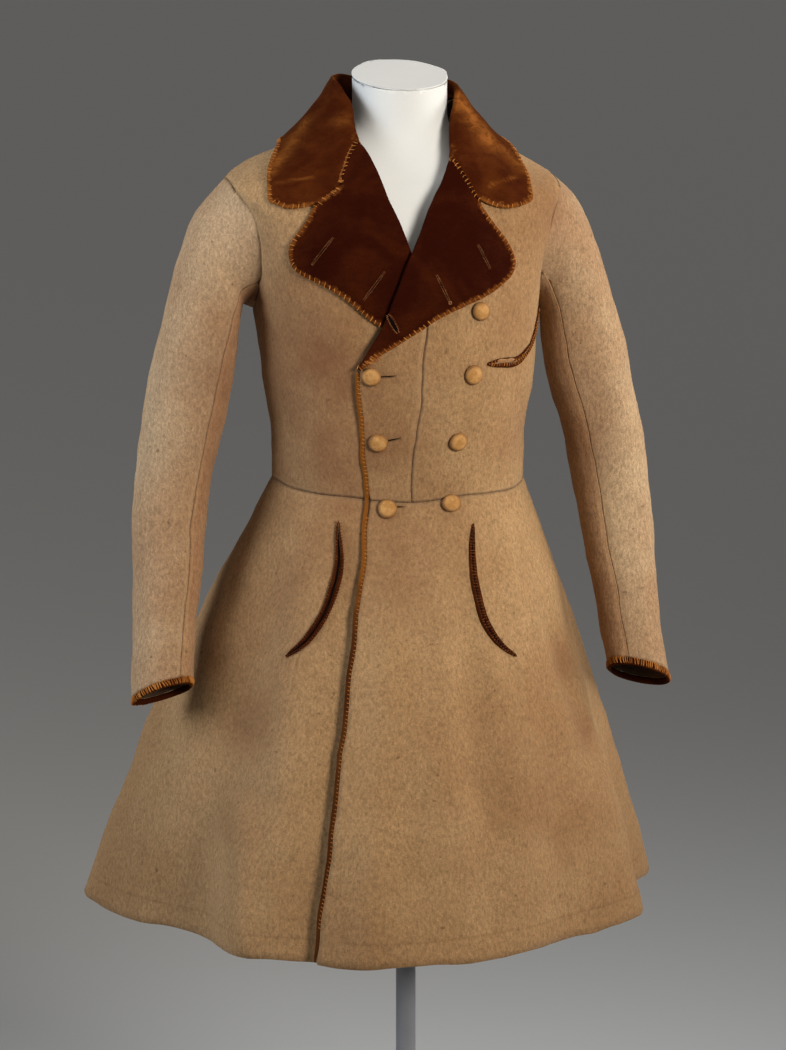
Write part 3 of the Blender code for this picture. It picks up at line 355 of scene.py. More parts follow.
WAVE_SPREAD = (0.7, 1.5)  # the shortest and the longest wave of a field, as shares of its length


def wave_field(seed, length, count=14):
    """Random directions, phases and pushes of slow waves about this long."""
    draw = np.random.default_rng(seed)
    ways = draw.normal(size=(count, 3))
    ways /= np.linalg.norm(ways, axis=1, keepdims=True)
    ways *= 2 * math.pi / (length * draw.uniform(*WAVE_SPREAD, size=(count, 1)))
    return ways, draw.uniform(0, 2 * math.pi, count), draw.normal(size=(count, 3)) / math.sqrt(count)


WAVES = ((wave_field(3, 0.110), 1.5 * MM), (wave_field(5, 0.045), 0.55 * MM), (wave_field(8, 0.020), 0.16 * MM))


def waved(points):
    """Points carried along by the slow waves."""
    moved = points.copy()
    for (ways, phases, pushes), amount in WAVES:
        moved += np.sin(points @ ways.T + phases) @ pushes * amount
    return moved


carried = waved(np.array([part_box("collar")[1]])) - np.array([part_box("collar")[1]])
print("the waves carry the top of the collar", round(float(np.linalg.norm(carried)) / MM, 2), "mm")

# %% [markdown]
# ## Seams
# A seam is a dip with a soft swell beside it, where the turnings are pressed open underneath. The walls
# stand a little apart, so the points near a rim also move over to the neighbour's rim.

# %% Seams
SEAM_DIP = 0.30 * MM
SEAM_WIDTH = 2.4 * MM
SEAM_SWELL = 0.32 * MM
SWELL_AT = 7.0 * MM
SWELL_WIDTH = 3.5 * MM
CLOSE_REACH = 5.0 * MM
CLOSE_MOST = 1.3 * MM
CLOSE_SHARE = 0.75  # of the way from one rim to the other that each point is moved


def sewn(points, normals, seam):
    """Points pulled in along the seams, with a soft swell beside each."""
    push = SEAM_SWELL * gauss(seam - SWELL_AT, SWELL_WIDTH) - SEAM_DIP * gauss(seam, SEAM_WIDTH)
    return points + normals * push[:, None]


def closed_up(points, seam, own, others):
    """Points near a seam moved towards the neighbour's rim, so that the seam has no gap."""
    moved = points.copy()
    for i in np.nonzero(seam < CLOSE_REACH)[0]:
        rim = own.find(points[i])[0]
        to, reach = min(((other.find(rim)[0], other.find(rim)[2]) for other in others), key=lambda pair: pair[1])
        if reach < SEAM_NEAR:
            step = (to - rim) * CLOSE_SHARE
            step *= min(1.0, CLOSE_MOST / max(step.length, TINY)) * max(0.0, 1 - seam[i] / CLOSE_REACH)
            moved[i] += step
    return moved


print("a seam dips", SEAM_DIP / MM, "mm and swells", SEAM_SWELL / MM, "mm beside the dip")

# %% [markdown]
# ## Folds of the skirt
# A fold is a line on the cloth, seen from the front, with a width and a depth. It moves the panels, the
# pockets and the binding alike. Two of them move only one of the fronts that lie on each other: the one
# underneath sinks beside the edge, and the edge of the one on top lifts.

# %% Folds of the skirt
BOTH = ("skirt_left", "skirt_right", "skirt_pocket_left", "skirt_pocket_right", "front_binding_skirt")
UNDER = ("skirt_right", "skirt_pocket_right")
OVER = ("skirt_left", "front_binding_skirt")
FOLDS = (  # points down each (x, z), how wide, how far out (or in, if negative), and what it moves
    (((-0.036, 0.98), (-0.052, 0.86), (-0.072, 0.70), (-0.090, 0.54)), 0.020, 0.0045, OVER),
    (((-0.160, 1.00), (-0.170, 0.94), (-0.188, 0.875), (-0.204, 0.77), (-0.210, 0.70)), 0.026, -0.0095, BOTH),
    (((-0.216, 0.74), (-0.222, 0.67), (-0.229, 0.537)), 0.015, 0.0075, BOTH),
    (((-0.078, 1.00), (-0.101, 0.819), (-0.120, 0.706), (-0.142, 0.594), (-0.156, 0.50)), 0.018, -0.0080, UNDER),
    (((0.006, 0.95), (0.012, 0.80), (0.006, 0.64)), 0.026, 0.0045, BOTH),
    (((0.046, 0.97), (0.050, 0.75), (0.062, 0.56)), 0.022, -0.0045, BOTH),
    (((0.100, 0.85), (0.112, 0.70), (0.125, 0.54)), 0.026, 0.0055, BOTH),
    (((0.148, 0.97), (0.165, 0.91), (0.205, 0.80), (0.226, 0.735)), 0.022, -0.0125, BOTH),
    (((0.178, 0.76), (0.205, 0.64), (0.215, 0.56)), 0.024, 0.0055, BOTH),
)
FADE_LENGTH = 0.09  # a fold grows to its full depth over this length below its top
FADE_PAST = 0.03  # and dies away over this length past its ends
FOLD_START = 0.25  # its depth at its top, as a share
FRONT_UNTIL, FRONT_FADE = 0.10, 0.06  # folds are for the front: by this y they have died away, over this length


def away_from(points, line):
    """Each point's distance from a line seen from the front, and how far it is past the line's ends."""
    flat = points[:, [0, 2]]
    best = np.full(len(flat), FAR)
    for start, end in zip(np.array(line[:-1]), np.array(line[1:])):
        span = end - start
        share = np.clip((flat - start) @ span / (span @ span), 0.0, 1.0)
        best = np.minimum(best, np.linalg.norm(flat - start - share[:, None] * span, axis=1))
    top, bottom = line[0][1], line[-1][1]
    return best, np.maximum(points[:, 2] - top, 0) + np.maximum(bottom - points[:, 2], 0)


def folded(points, node):
    """Points of the front of the skirt pushed out or in along its folds."""
    moved = points.copy()
    out = points[:, :2] - np.array(BODY_AXIS)[:2]
    out /= np.maximum(np.linalg.norm(out, axis=1, keepdims=True), TINY)
    front = np.clip((FRONT_UNTIL - points[:, 1]) / FRONT_FADE, 0.0, 1.0)
    for line, width, depth, moves in FOLDS:
        if node in moves:
            across, past = away_from(points, line)
            ends = np.clip((line[0][1] - points[:, 2]) / FADE_LENGTH, 0, 1)
            grown = FOLD_START + (1 - FOLD_START) * ends
            push = depth * gauss(across, width) * front * grown * gauss(past, FADE_PAST)
            moved[:, :2] += out * push[:, None]
    return moved


print("folds:", len(FOLDS), "the deepest", max(abs(depth) for _, _, depth, _ in FOLDS) / MM, "mm")

# %% [markdown]
# ## The collar
# The corners of the collar are squarer than its wall, and it meets the right lapel in a notch. Small
# pulls, each strongest at one place and gone within a few centimetres, give both. Old creases stand up
# as low ridges, and along them and in a few patches the pile is painted light, as highlights.

# %% The collar's corners, creases and notch
COLLAR_PULLS = (  # a place, its reach and the push
    ((-0.168, -0.044, 1.401), 0.009, (-0.0034, -0.0010, -0.0030)),
    ((0.139, -0.054, 1.396), 0.009, (0.0036, -0.0010, -0.0030)),
    ((-0.162, -0.046, 1.406), 0.014, (-0.0042, -0.0012, -0.0056)),
    ((-0.106, -0.067, 1.411), 0.011, (0.0014, -0.0026, -0.0040)),
    ((0.128, -0.057, 1.399), 0.013, (0.0030, -0.0010, -0.0046)),
)
COLLAR_CREASES = (  # two ends of a line, its reach and its strength
    ((-0.163, -0.038, 1.4150), (-0.122, -0.050, 1.4230), 0.0019, 0.80),
    ((0.086, -0.065, 1.4120), (0.134, -0.042, 1.4230), 0.0019, 0.85),
)
COLLAR_HIGHLIGHT_PATCHES = (  # the same, for the patches of painted highlight on the pile
    ((-0.150, -0.005, 1.447), (-0.118, 0.028, 1.478), 0.012, 0.46),
    ((-0.165, -0.022, 1.430), (-0.156, -0.010, 1.440), 0.008, 0.60),
    ((-0.080, -0.006, 1.483), (-0.072, -0.014, 1.492), 0.010, 0.40),
    ((0.066, 0.012, 1.508), (0.095, -0.010, 1.465), 0.019, 0.95),
    ((0.135, -0.025, 1.430), (0.122, -0.005, 1.446), 0.012, 0.45),
)
CREASE_LIFT = 1.3 * MM
NOTCH_PULL = ((-0.090, -0.070, 1.408), 0.018, (0.0085, -0.0022, 0.0016))  # a place, its reach and the push


def along(points, start, end):
    """Each point's distance from a straight line between two places."""
    start, end = np.array(start), np.array(end)
    span = end - start
    share = np.clip((points - start) @ span / (span @ span), 0.0, 1.0)
    return np.linalg.norm(points - start - share[:, None] * span, axis=1)


def pulled(points, place, reach, push):
    """The push that each point gets from a pull at a place."""
    return gauss(np.linalg.norm(points - np.array(place), axis=1), reach)[:, None] * np.array(push)


def notched(points, node):
    """The points of the collar and of the right lapel, with the notch between them drawn in."""
    return points + pulled(points, *NOTCH_PULL) if node in ("collar", "lapel_right") else points


def collar_shaped(points, normals):
    """The collar with its corners pulled square and its creases raised."""
    moved = points.copy()
    for pull in COLLAR_PULLS:
        moved += pulled(points, *pull)
    for start, end, reach, strength in COLLAR_CREASES:
        moved += normals * (gauss(along(points, start, end), reach) * CREASE_LIFT * strength)[:, None]
    return moved


points = points_of(cloth["collar"].data)
moved = collar_shaped(points, normals_of(cloth["collar"].data)) - points
print("the collar's corners move by up to", round(float(np.linalg.norm(moved, axis=1).max()) / MM, 1), "mm")

# %% [markdown]
# ## The binding and the back
# The front binding is drawn in, so that it hugs the edge of the wool, and its two lengths are drawn out
# to meet at the waist. The shoulders of the back are pressed flat, as an iron does it: each point goes
# to the middle of its neighbours, over and over, but not close to a seam.

# %% The front binding
BINDING_KEPT = {"front_binding_bodice": 0.80, "front_binding_skirt": 0.86}  # of its width
BINDING_SLOPE = 0.13  # how far the front edge leans over for each metre of height
BINDING_LOOK = 9 * MM  # how far up and down the edge is looked for
BINDING_EDGE = 90  # the percentile of the points there, across, that is its right edge and stays where it is
END_REACH = {"front_binding_bodice": 1.5 * MM, "front_binding_skirt": 6.0 * MM}  # drawn out at the waist
END_LENGTH = 0.03
END_SPREAD, SPREAD_LENGTH = 0.35, 5 * MM  # how much wider the waist end is, and over what length


def hugging(points, node):
    """The front binding drawn in against the edge of the wool, and a little longer at the waist."""
    moved = points.copy()
    heights = points[:, 2]
    end = heights.min() if node.endswith("bodice") else heights.max()
    for i, height in enumerate(heights):
        near = np.abs(heights - height) < BINDING_LOOK
        right = np.percentile(points[near, 0] - (heights[near] - height) * BINDING_SLOPE, BINDING_EDGE)
        width = BINDING_KEPT[node] * (1 + END_SPREAD * math.exp(-(((height - end) / SPREAD_LENGTH) ** 2)))
        moved[i, 0] = right + (points[i, 0] - right) * width
    share = np.clip(1 - np.abs(heights - end) / END_LENGTH, 0.0, 1.0)
    moved[:, 2] += np.sign(end - heights.mean()) * END_REACH[node] * share
    return moved


print("the binding keeps these shares of its width:", BINDING_KEPT)

# %% Pressing the back
PRESSED_FROM, PRESSED_FULL = 1.33, 1.36  # heights between which the pressing sets in
PRESS_CLEAR, PRESS_BLEND = 3.0 * MM, 6.0 * MM  # how far from a seam it begins, and how much further it is full
PRESS_ROUNDS = 30
PRESS_SHARE = 0.6  # of the way to the middle of its neighbours that a point goes each time


def pressed(mesh, points, seam):
    """Points of the back near the shoulder drawn to the middle of their neighbours, over and over."""
    ends = np.empty(len(mesh.edges) * 2, np.int32)
    mesh.edges.foreach_get("vertices", ends)
    one, two = ends.reshape(-1, 2).T
    count = np.bincount(ends, minlength=len(points))[:, None]
    much = np.clip((points[:, 2] - PRESSED_FROM) / (PRESSED_FULL - PRESSED_FROM), 0.0, 1.0)
    much = (PRESS_SHARE * much * np.clip((seam - PRESS_CLEAR) / PRESS_BLEND, 0.0, 1.0))[:, None]
    moved = points.copy()
    for _ in range(PRESS_ROUNDS):
        total = np.zeros_like(moved)
        np.add.at(total, one, moved[two])
        np.add.at(total, two, moved[one])
        moved += (total / count - moved) * much
    return moved


print("the back is pressed", PRESS_ROUNDS, "times above", PRESSED_FROM, "m")

# %% Moving every piece
for node, piece in cloth.items():
    before = points_of(piece.data)
    points = notched(folded(before, node), node)
    if node == "collar":
        points = collar_shaped(points, normals_of(piece.data))
    if node.startswith("front_binding"):
        points = hugging(points, node)
    if node in seam_distance:
        if node.startswith("back_") and "skirt" not in node:
            points = pressed(piece.data, points, seam_distance[node])
        if beside[node]:
            points = closed_up(points, seam_distance[node], trees[node], [trees[other] for other in beside[node]])
        points = sewn(points, normals_of(piece.data), seam_distance[node])
    points = waved(points)
    set_points(piece.data, points)
    print(node, "moved by up to", round(float(np.linalg.norm(points - before, axis=1).max()) / MM, 1), "mm")

# %% [markdown]
# ## Soil, painted shade and fading
# A worn coat isn't one colour, and shade is painted in along with its dirt. The fronts have darkened in a
# few places where hands and arms rub, and the wool grows darker towards the bottom. The left chest, where
# the left sleeve shades it, the armpit, the inner sleeves and the hollows of the folds are darkened as
# painted shade. Each patch is a place, a reach and a strength, and every panel carries the sum as an
# attribute. The hem's distance and the painted highlights of the collar are stored in the same way, and
# the lining side is marked for its own colour.

# %% Soil and painted shade
SOIL_AND_SHADE = (  # place, reach, strength
    # painted shade on the left chest, where the left sleeve shades it
    ((-0.130, -0.09, 1.24), 0.120, 0.54),
    ((-0.120, -0.08, 1.10), 0.110, 0.44),
    # soil on the fronts, on the shoulders and at the waist
    ((-0.020, -0.10, 1.12), 0.060, 0.14),
    ((0.150, -0.04, 1.39), 0.070, 0.44),
    ((-0.120, -0.03, 1.40), 0.060, 0.14),
    ((0.124, -0.04, 1.118), 0.050, 0.30),
    ((0.117, -0.07, 1.242), 0.060, 0.28),
    ((0.000, -0.10, 0.98), 0.090, 0.36),
    ((-0.110, -0.10, 0.97), 0.090, 0.22),
    # painted shade in the hollow under the left arm, in the armpit and down the inner sleeves
    ((-0.190, -0.03, 0.86), 0.110, 0.22),
    ((-0.186, 0.02, 1.285), 0.022, 0.90),
    ((-0.217, 0.01, 1.18), 0.045, 0.56),
    ((-0.227, 0.02, 1.094), 0.045, 0.32),
    ((-0.248, 0.02, 0.988), 0.040, 0.22),
    ((0.208, 0.00, 1.170), 0.040, 0.28),
    ((0.224, 0.01, 1.082), 0.040, 0.28),
    ((0.253, -0.01, 0.900), 0.030, 0.16),
    # soil on the right skirt
    ((0.110, -0.16, 0.78), 0.120, 0.18),
    ((0.160, -0.14, 0.62), 0.140, 0.14),
    # painted shade in the valley of the left skirt's fold
    ((-0.212, -0.07, 0.77), 0.045, 0.34),
    ((-0.224, -0.11, 0.67), 0.045, 0.18),
    # a stain on the right skirt
    ((0.130, -0.13, 0.66), 0.060, 0.08),
    # painted shade in the valley of the right skirt's fold
    ((0.190, -0.05, 0.84), 0.032, 0.42),
    ((0.218, -0.055, 0.76), 0.032, 0.40),
)
# the wool grows darker towards the bottom, from the waist down
SKIRT_DARKENING, SKIRT_DARKENING_TOP, SKIRT_DARKENING_RISE = 0.14, 0.95, 0.35  # strength, the height it starts at, and over what
SOIL_AND_SHADE_MOST = 0.97
HEM_BELOW = 0.575  # the rims of the skirt below this height are its hem


def soil_and_shade_at(points):
    """How much soil and painted shade each point carries, from 0 for none."""
    total = SKIRT_DARKENING * np.clip((SKIRT_DARKENING_TOP - points[:, 2]) / SKIRT_DARKENING_RISE, 0.0, 1.0)
    for place, reach, strength in SOIL_AND_SHADE:
        total = total + strength * gauss(np.linalg.norm(points - np.array(place), axis=1), reach)
    return np.clip(total, 0.0, SOIL_AND_SHADE_MOST)


# every panel stores its soil and its painted shade as one attribute
for node in WOOL_NODES:
    mesh = cloth[node].data
    soil = soil_and_shade_at(points_of(mesh))
    store(mesh, "soil", soil)
    print(node, "soil, mean and most:", round(float(soil.mean()), 2), round(float(soil.max()), 2))
    hem = [point for point in rims[node] if point[2] < HEM_BELOW] if "skirt" in node else []
    store(mesh, "hem", distances(mesh, tree_of(hem), len(hem)))
points = points_of(cloth["collar"].data)
# painted highlights of the collar, along its creases and in its patches
brushed = sum(gauss(along(points, a, b), reach) * much for a, b, reach, much in COLLAR_CREASES + COLLAR_HIGHLIGHT_PATCHES)
store(cloth["collar"].data, "brushed", np.clip(brushed, 0.0, 1.0))

# %% Lining
for node in WOOL_NODES:
    mesh = cloth[node].data
    inside = sides_of(mesh) == LINING_SIDE
    lining = mesh.attributes.new("lining", "FLOAT", "FACE")
    lining.data.foreach_set("value", inside.astype(np.float32))
    print(node, "lining faces:", int(inside.sum()), "of", len(inside))

# %% [markdown]
# ## Materials
# Each finish is a few noises at real sizes, in metres through the Object coordinates, mixed.
# They need no image, and stay sharp close by. Small helpers keep each node on one line. What is the same
# all over a surface is set on the shader's own socket, and only what varies is a node.

# %% Helpers for shader nodes
NOISE_LOW, NOISE_HIGH = 0.3, 0.7  # most of a noise lies between these


def new_material(name):
    """A material, its node tree and its shader."""
    material = bpy.data.materials.new(name)
    material.use_nodes = True
    tree = material.node_tree
    return material, tree, tree.nodes["Principled BSDF"]


def add(tree, kind, inputs=None, **settings):
    """A node with its settings, and its inputs set to values or joined to sockets."""
    made = tree.nodes.new("ShaderNode" + kind)
    for key, value in settings.items():
        setattr(made, key, value)
    for key, value in (inputs or {}).items():
        if isinstance(value, bpy.types.NodeSocket):
            tree.links.new(value, made.inputs[key])
        else:
            made.inputs[key].default_value = value
    return made


def noise(tree, place, scale, detail=2.0, roughness=0.5, distortion=0.0, stretch=(1, 1, 1)):
    """The Factor of a noise, scale in cells a metre, stretched along the axes."""
    mapped = add(tree, "Mapping", {"Vector": place, "Scale": stretch}).outputs["Vector"]
    inputs = {"Vector": mapped, "Scale": scale, "Detail": detail, "Roughness": roughness, "Distortion": distortion}
    return add(tree, "TexNoise", inputs).outputs[0]


def ranged(tree, value, low, high, to_low=0.0, to_high=1.0, smooth=True):
    """A value stretched from one range to another, and held at its ends."""
    inputs = {"Value": value, "From Min": low, "From Max": high, "To Min": to_low, "To Max": to_high}
    kind = "SMOOTHSTEP" if smooth else "LINEAR"
    return add(tree, "MapRange", inputs, interpolation_type=kind).outputs["Result"]


def mixed(tree, factor, first, second, blend="MIX"):
    """Two colours mixed, each given as numbers or as a socket."""
    made = add(tree, "Mix", data_type="RGBA", blend_type=blend)
    for index, value in ((0, factor), (6, first), (7, second)):
        if isinstance(value, bpy.types.NodeSocket):
            tree.links.new(value, made.inputs[index])
        elif index == 0:
            made.inputs[0].default_value = value
        else:
            made.inputs[index].default_value = (*value, 1.0)
    return made.outputs[2]


def grey(tree, value):
    """A grey colour from a number, to multiply another colour by."""
    return add(tree, "CombineColor", {"Red": value, "Green": value, "Blue": value}).outputs["Color"]


# %% Helpers for finishes
def times(tree, first, second):
    """Two values multiplied."""
    return add(tree, "Math", {0: first, 1: second}, operation="MULTIPLY").outputs["Value"]


def plus(tree, first, second):
    """Two values added."""
    return add(tree, "Math", {0: first, 1: second}, operation="ADD").outputs["Value"]


def bumped(tree, height, distance, strength=1.0):
    """The normal of a surface raised by a height, where a height of 1 is this distance."""
    return add(tree, "Bump", {"Height": height, "Distance": distance, "Strength": strength}).outputs["Normal"]


def coordinates(tree):
    """The place on the piece, in metres."""
    return add(tree, "TexCoord").outputs["Object"]


def attribute(tree, name):
    """A value that was stored on the points or the faces of the mesh."""
    return add(tree, "Attribute", attribute_name=name).outputs["Fac"]


def shaded(tree, colour, value, darkest, lightest):
    """A colour made darker and lighter by a noise."""
    shade = ranged(tree, value, NOISE_LOW, NOISE_HIGH, darkest, lightest, False)
    return mixed(tree, 1.0, colour, grey(tree, shade), "MULTIPLY")


def ragged(tree, value, uneven, amount):
    """A distance or a height made uneven by a noise, by up to about half the amount either way."""
    return plus(tree, value, times(tree, plus(tree, uneven, -0.5), amount))


def band(tree, value, start, peak, end, strength):
    """A soft line: nothing at its start and its end, and full at its peak."""
    return times(tree, ranged(tree, value, start, peak), ranged(tree, value, peak, end, strength, 0.0))


def set_shader(shader, roughness, specular=None, sheen=None):
    """The uniform values of a finish; sheen is its weight, its roughness and its tint."""
    shader.inputs["Roughness"].default_value = roughness
    if specular is not None:
        shader.inputs["Specular IOR Level"].default_value = specular
    if sheen is not None:
        weight, sheen_roughness, tint = sheen
        shader.inputs["Sheen Weight"].default_value = weight
        shader.inputs["Sheen Roughness"].default_value = sheen_roughness
        shader.inputs["Sheen Tint"].default_value = (*tint, 1.0)


# %% [markdown]
# Felted wool is a short dense nap with no weave to see. Its colour is mottled at about 5 mm, flecked
# finer than 2 mm and smudged over centimetres, with a few dark specks. The seams are a thin dark line
# with pale lips beside it. The sleeves are a paler wool than the body, and the under sleeves a darker,
# browner one, as painted shade on the inner side of each sleeve.

# %% Wool
SEAM_LINE = (0.130, 0.062, 0.026)
SEAM_LIP = (0.480, 0.310, 0.155)
SPECK = (0.10, 0.05, 0.02)
# the colour of soil, which is also laid on as painted shade
SOIL_AND_SHADE_COLOUR = (0.145, 0.054, 0.023)
LINING = (0.060, 0.034, 0.020)
NAP_DEPTH = 1.3 * MM
WOOL_SHEEN = (0.12, 0.5, (1.0, 0.80, 0.58))


def wool_material(name, light, dark, stain):
    """Felted wool: mottled nap, smudges, dark seams, and a soft light at grazing angles."""
    material, tree, shader = new_material(name)
    place = coordinates(tree)
    broad = ranged(tree, noise(tree, place, 5.5, 3.0, 0.55), 0.36, 0.66)
    colour = mixed(tree, broad, dark, light)
    smudge = ranged(tree, noise(tree, place, 11.0, 4.0, 0.6, 0.6), 0.55, 0.75, 0.0, 0.35)
    colour = mixed(tree, smudge, colour, stain)
    mottle = noise(tree, place, 200.0, 5.0, 0.7, 0.3, stretch=(1.5, 1.5, 0.85))
    colour = shaded(tree, colour, mottle, 0.63, 1.31)
    fleck = noise(tree, place, 620.0, 3.0, 0.7)
    colour = shaded(tree, colour, fleck, 0.78, 1.18)
    speck = ranged(tree, noise(tree, place, 120.0, 1.0, 0.5), 0.735, 0.80, 0.0, 0.55)
    colour = mixed(tree, speck, colour, SPECK)
    seam = attribute(tree, "seam")
    groove = ranged(tree, seam, 0.3 * MM, 1.4 * MM, 0.40, 0.0)
    colour = mixed(tree, groove, colour, SEAM_LINE)
    colour = mixed(tree, band(tree, seam, 1.8 * MM, 3.2 * MM, 6.6 * MM, 0.26), colour, SEAM_LIP)
    hem = ragged(tree, attribute(tree, "hem"), noise(tree, place, 40.0, 2.0), 4.0 * MM)
    colour = mixed(tree, band(tree, hem, 25.5 * MM, 28.0 * MM, 31.0 * MM, 0.24), colour, SEAM_LINE)
    cloudy = ranged(tree, noise(tree, place, 16.0, 4.0, 0.6), NOISE_LOW, NOISE_HIGH, 0.65, 1.30, False)
    # darker with soil and with painted shade, from the stored attribute
    colour = mixed(tree, times(tree, attribute(tree, "soil"), cloudy), colour, SOIL_AND_SHADE_COLOUR)
    colour = mixed(tree, attribute(tree, "lining"), colour, LINING)
    tree.links.new(colour, shader.inputs["Base Color"])
    nap = plus(tree, times(tree, mottle, 0.7), times(tree, fleck, 0.35))
    tree.links.new(bumped(tree, nap, NAP_DEPTH, 0.85), shader.inputs["Normal"])
    set_shader(shader, 0.95, 0.04, WOOL_SHEEN)
    print(name, len(tree.nodes), "nodes")
    return material


WOOLS = {  # for each part of the coat: the light, the dark and the smudged colour
    "body": ("felted_wool", (0.368, 0.222, 0.103), (0.308, 0.174, 0.077), (0.254, 0.148, 0.073)),
    "sleeves": ("felted_wool_sleeves", (0.418, 0.282, 0.160), (0.335, 0.198, 0.104), (0.290, 0.178, 0.100)),
    # painted shade: the under sleeves have a darker, browner wool
    "under": ("felted_wool_under_sleeves", (0.404, 0.235, 0.120), (0.315, 0.166, 0.079), (0.273, 0.150, 0.076)),
}
wools = {part: wool_material(*colours) for part, colours in WOOLS.items()}

# %% [markdown]
# Velvet is pile that stands up. It is nearly black-brown where it stands, brown where it is crushed, and
# gold where the silk has rubbed away to its ground, along the edges. On the collar, highlights are
# painted in streaks along its creases and in a few patches. The front binding has gone gold from the
# chest down to the waist, and has kept its brown below.

# %% Velvet
# the colour of the painted highlights on the collar
PAINTED_HIGHLIGHT_COLOUR = (0.230, 0.072, 0.0120)
PILE_SHEEN_ROUGHNESS, PILE_TINT = 0.28, (1.0, 0.36, 0.07)
PILE_DEPTH = 1.2 * MM
EDGE_RAGGED = 15.0 * MM  # how uneven the rubbed edge is
GOLD_FROM, GOLD_TO = 0.90, 0.99  # heights between which the front edge turns from brown to rubbed gold


def velvet_material(name, deep, crushed, worn, patches, edge_wear, sheen, gold=0.0):
    """Cut pile: deep where it stands up, lighter where it is crushed, golden where it is rubbed away."""
    material, tree, shader = new_material(name)
    place = coordinates(tree)
    crush = noise(tree, place, 17.0, 2.0, 0.5, 0.9)
    streak = noise(tree, place, 62.0, 3.0, 0.6, 0.8, stretch=(1.0, 1.0, 2.2))
    patch = ranged(tree, plus(tree, times(tree, crush, 0.75), times(tree, streak, 0.25)), 0.40, 0.72, 0.0, patches)
    colour = mixed(tree, patch, deep, crushed)
    # painted highlights, where the collar stores them, broken into streaks
    brushed = times(tree, attribute(tree, "brushed"), ranged(tree, streak, 0.30, 0.62, 0.35, 1.0))
    colour = mixed(tree, brushed, colour, PAINTED_HIGHLIGHT_COLOUR)
    edge = ragged(tree, attribute(tree, "edge"), noise(tree, place, 200.0, 3.0, 0.65), EDGE_RAGGED)
    colour = mixed(tree, ranged(tree, edge, 0.5 * MM, 6.6 * MM, edge_wear, 0.0), colour, worn)
    if gold:
        height = add(tree, "SeparateXYZ", {"Vector": place}).outputs["Z"]
        faded = ragged(tree, height, noise(tree, place, 12.0, 3.0), 0.22)
        colour = mixed(tree, ranged(tree, faded, GOLD_FROM, GOLD_TO, 0.0, gold), colour, worn)
    pile = noise(tree, place, 900.0, 2.0, 0.6)
    colour = shaded(tree, colour, pile, 0.75, 1.25)
    groove = ranged(tree, attribute(tree, "seam"), 0.3 * MM, 2.4 * MM, 0.35, 1.0)
    colour = mixed(tree, 1.0, colour, grey(tree, groove), "MULTIPLY")
    tree.links.new(colour, shader.inputs["Base Color"])
    height = plus(tree, times(tree, pile, 0.3), times(tree, streak, 1.2))
    tree.links.new(bumped(tree, height, PILE_DEPTH, 0.7), shader.inputs["Normal"])
    set_shader(shader, 0.80, 0.02, (sheen, PILE_SHEEN_ROUGHNESS, PILE_TINT))
    print(name, len(tree.nodes), "nodes")
    return material


collar_velvet = velvet_material(
    "collar_velvet", (0.036, 0.0058, 0.0010), (0.082, 0.0190, 0.0030), (0.28, 0.090, 0.016), 0.66, 0.60, 0.18
)
lapel_velvet = velvet_material(
    "lapel_velvet", (0.020, 0.0023, 0.0005), (0.048, 0.0088, 0.0015), (0.22, 0.066, 0.012), 0.6, 0.56, 0.16
)
lip_velvet = velvet_material(
    "lip_velvet", (0.090, 0.017, 0.0035), (0.190, 0.046, 0.0090), (0.45, 0.20, 0.060), 0.9, 0.0, 0.10
)
binding_velvet = velvet_material(
    "binding_velvet", (0.150, 0.041, 0.0090), (0.250, 0.076, 0.0150), (0.52, 0.170, 0.026), 0.9, 0.0, 0.08, 0.94
)


# %% [markdown]
# The buttons are covered in thin smooth cloth, pale where it is rubbed, in patches, and darker towards
# the rim as painted shade on the dome, so each carries its own distance from its middle. The form is in
# fine white jersey, and the stand is painted metal.

# %% Buttons, form and stand
def jersey_material(name, colour):
    """A fine even knit: a little mottling and a fine tooth."""
    material, tree, shader = new_material(name)
    place = coordinates(tree)
    broad = ranged(tree, noise(tree, place, 9.0, 2.0), NOISE_LOW, NOISE_HIGH, 0.97, 1.02, False)
    tooth = noise(tree, place, 1500.0, 3.0, 0.6)
    shade = shaded(tree, grey(tree, broad), tooth, 0.95, 1.04)
    tree.links.new(mixed(tree, 1.0, colour, shade, "MULTIPLY"), shader.inputs["Base Color"])
    tree.links.new(bumped(tree, tooth, 0.06 * MM, 0.6), shader.inputs["Normal"])
    set_shader(shader, 0.75)
    shader.inputs["Sheen Weight"].default_value = 0.1
    print(name, len(tree.nodes), "nodes")
    return material


# the rim colour is painted shade at the edge of the dome
BUTTON_DULL, BUTTON_RUBBED, BUTTON_RIM_SHADE = (0.345, 0.162, 0.042), (0.450, 0.232, 0.076), (0.150, 0.060, 0.018)


def button_material():
    """Thin cloth drawn over a domed button: golden, rubbed pale in patches, and darker towards the rim as painted
    shade.
    """
    material, tree, shader = new_material("button_cloth")
    place = coordinates(tree)
    patchy = noise(tree, place, 130.0, 3.0, 0.6)
    top = mixed(tree, ranged(tree, patchy, 0.38, 0.62), BUTTON_DULL, BUTTON_RUBBED)
    reach = ragged(tree, attribute(tree, "reach"), noise(tree, place, 260.0, 2.0), 0.30)
    # painted shade: darker towards the rim
    colour = mixed(tree, ranged(tree, reach, 0.58, 1.0, 0.0, 0.90), top, BUTTON_RIM_SHADE)
    weave = noise(tree, place, 1100.0, 2.0, 0.6)
    tree.links.new(shaded(tree, colour, weave, 0.84, 1.14), shader.inputs["Base Color"])
    height = plus(tree, weave, times(tree, patchy, 1.5))
    tree.links.new(bumped(tree, height, 0.7 * MM, 0.7), shader.inputs["Normal"])
    set_shader(shader, 0.75, 0.15)
    print("button_cloth", len(tree.nodes), "nodes")
    return material


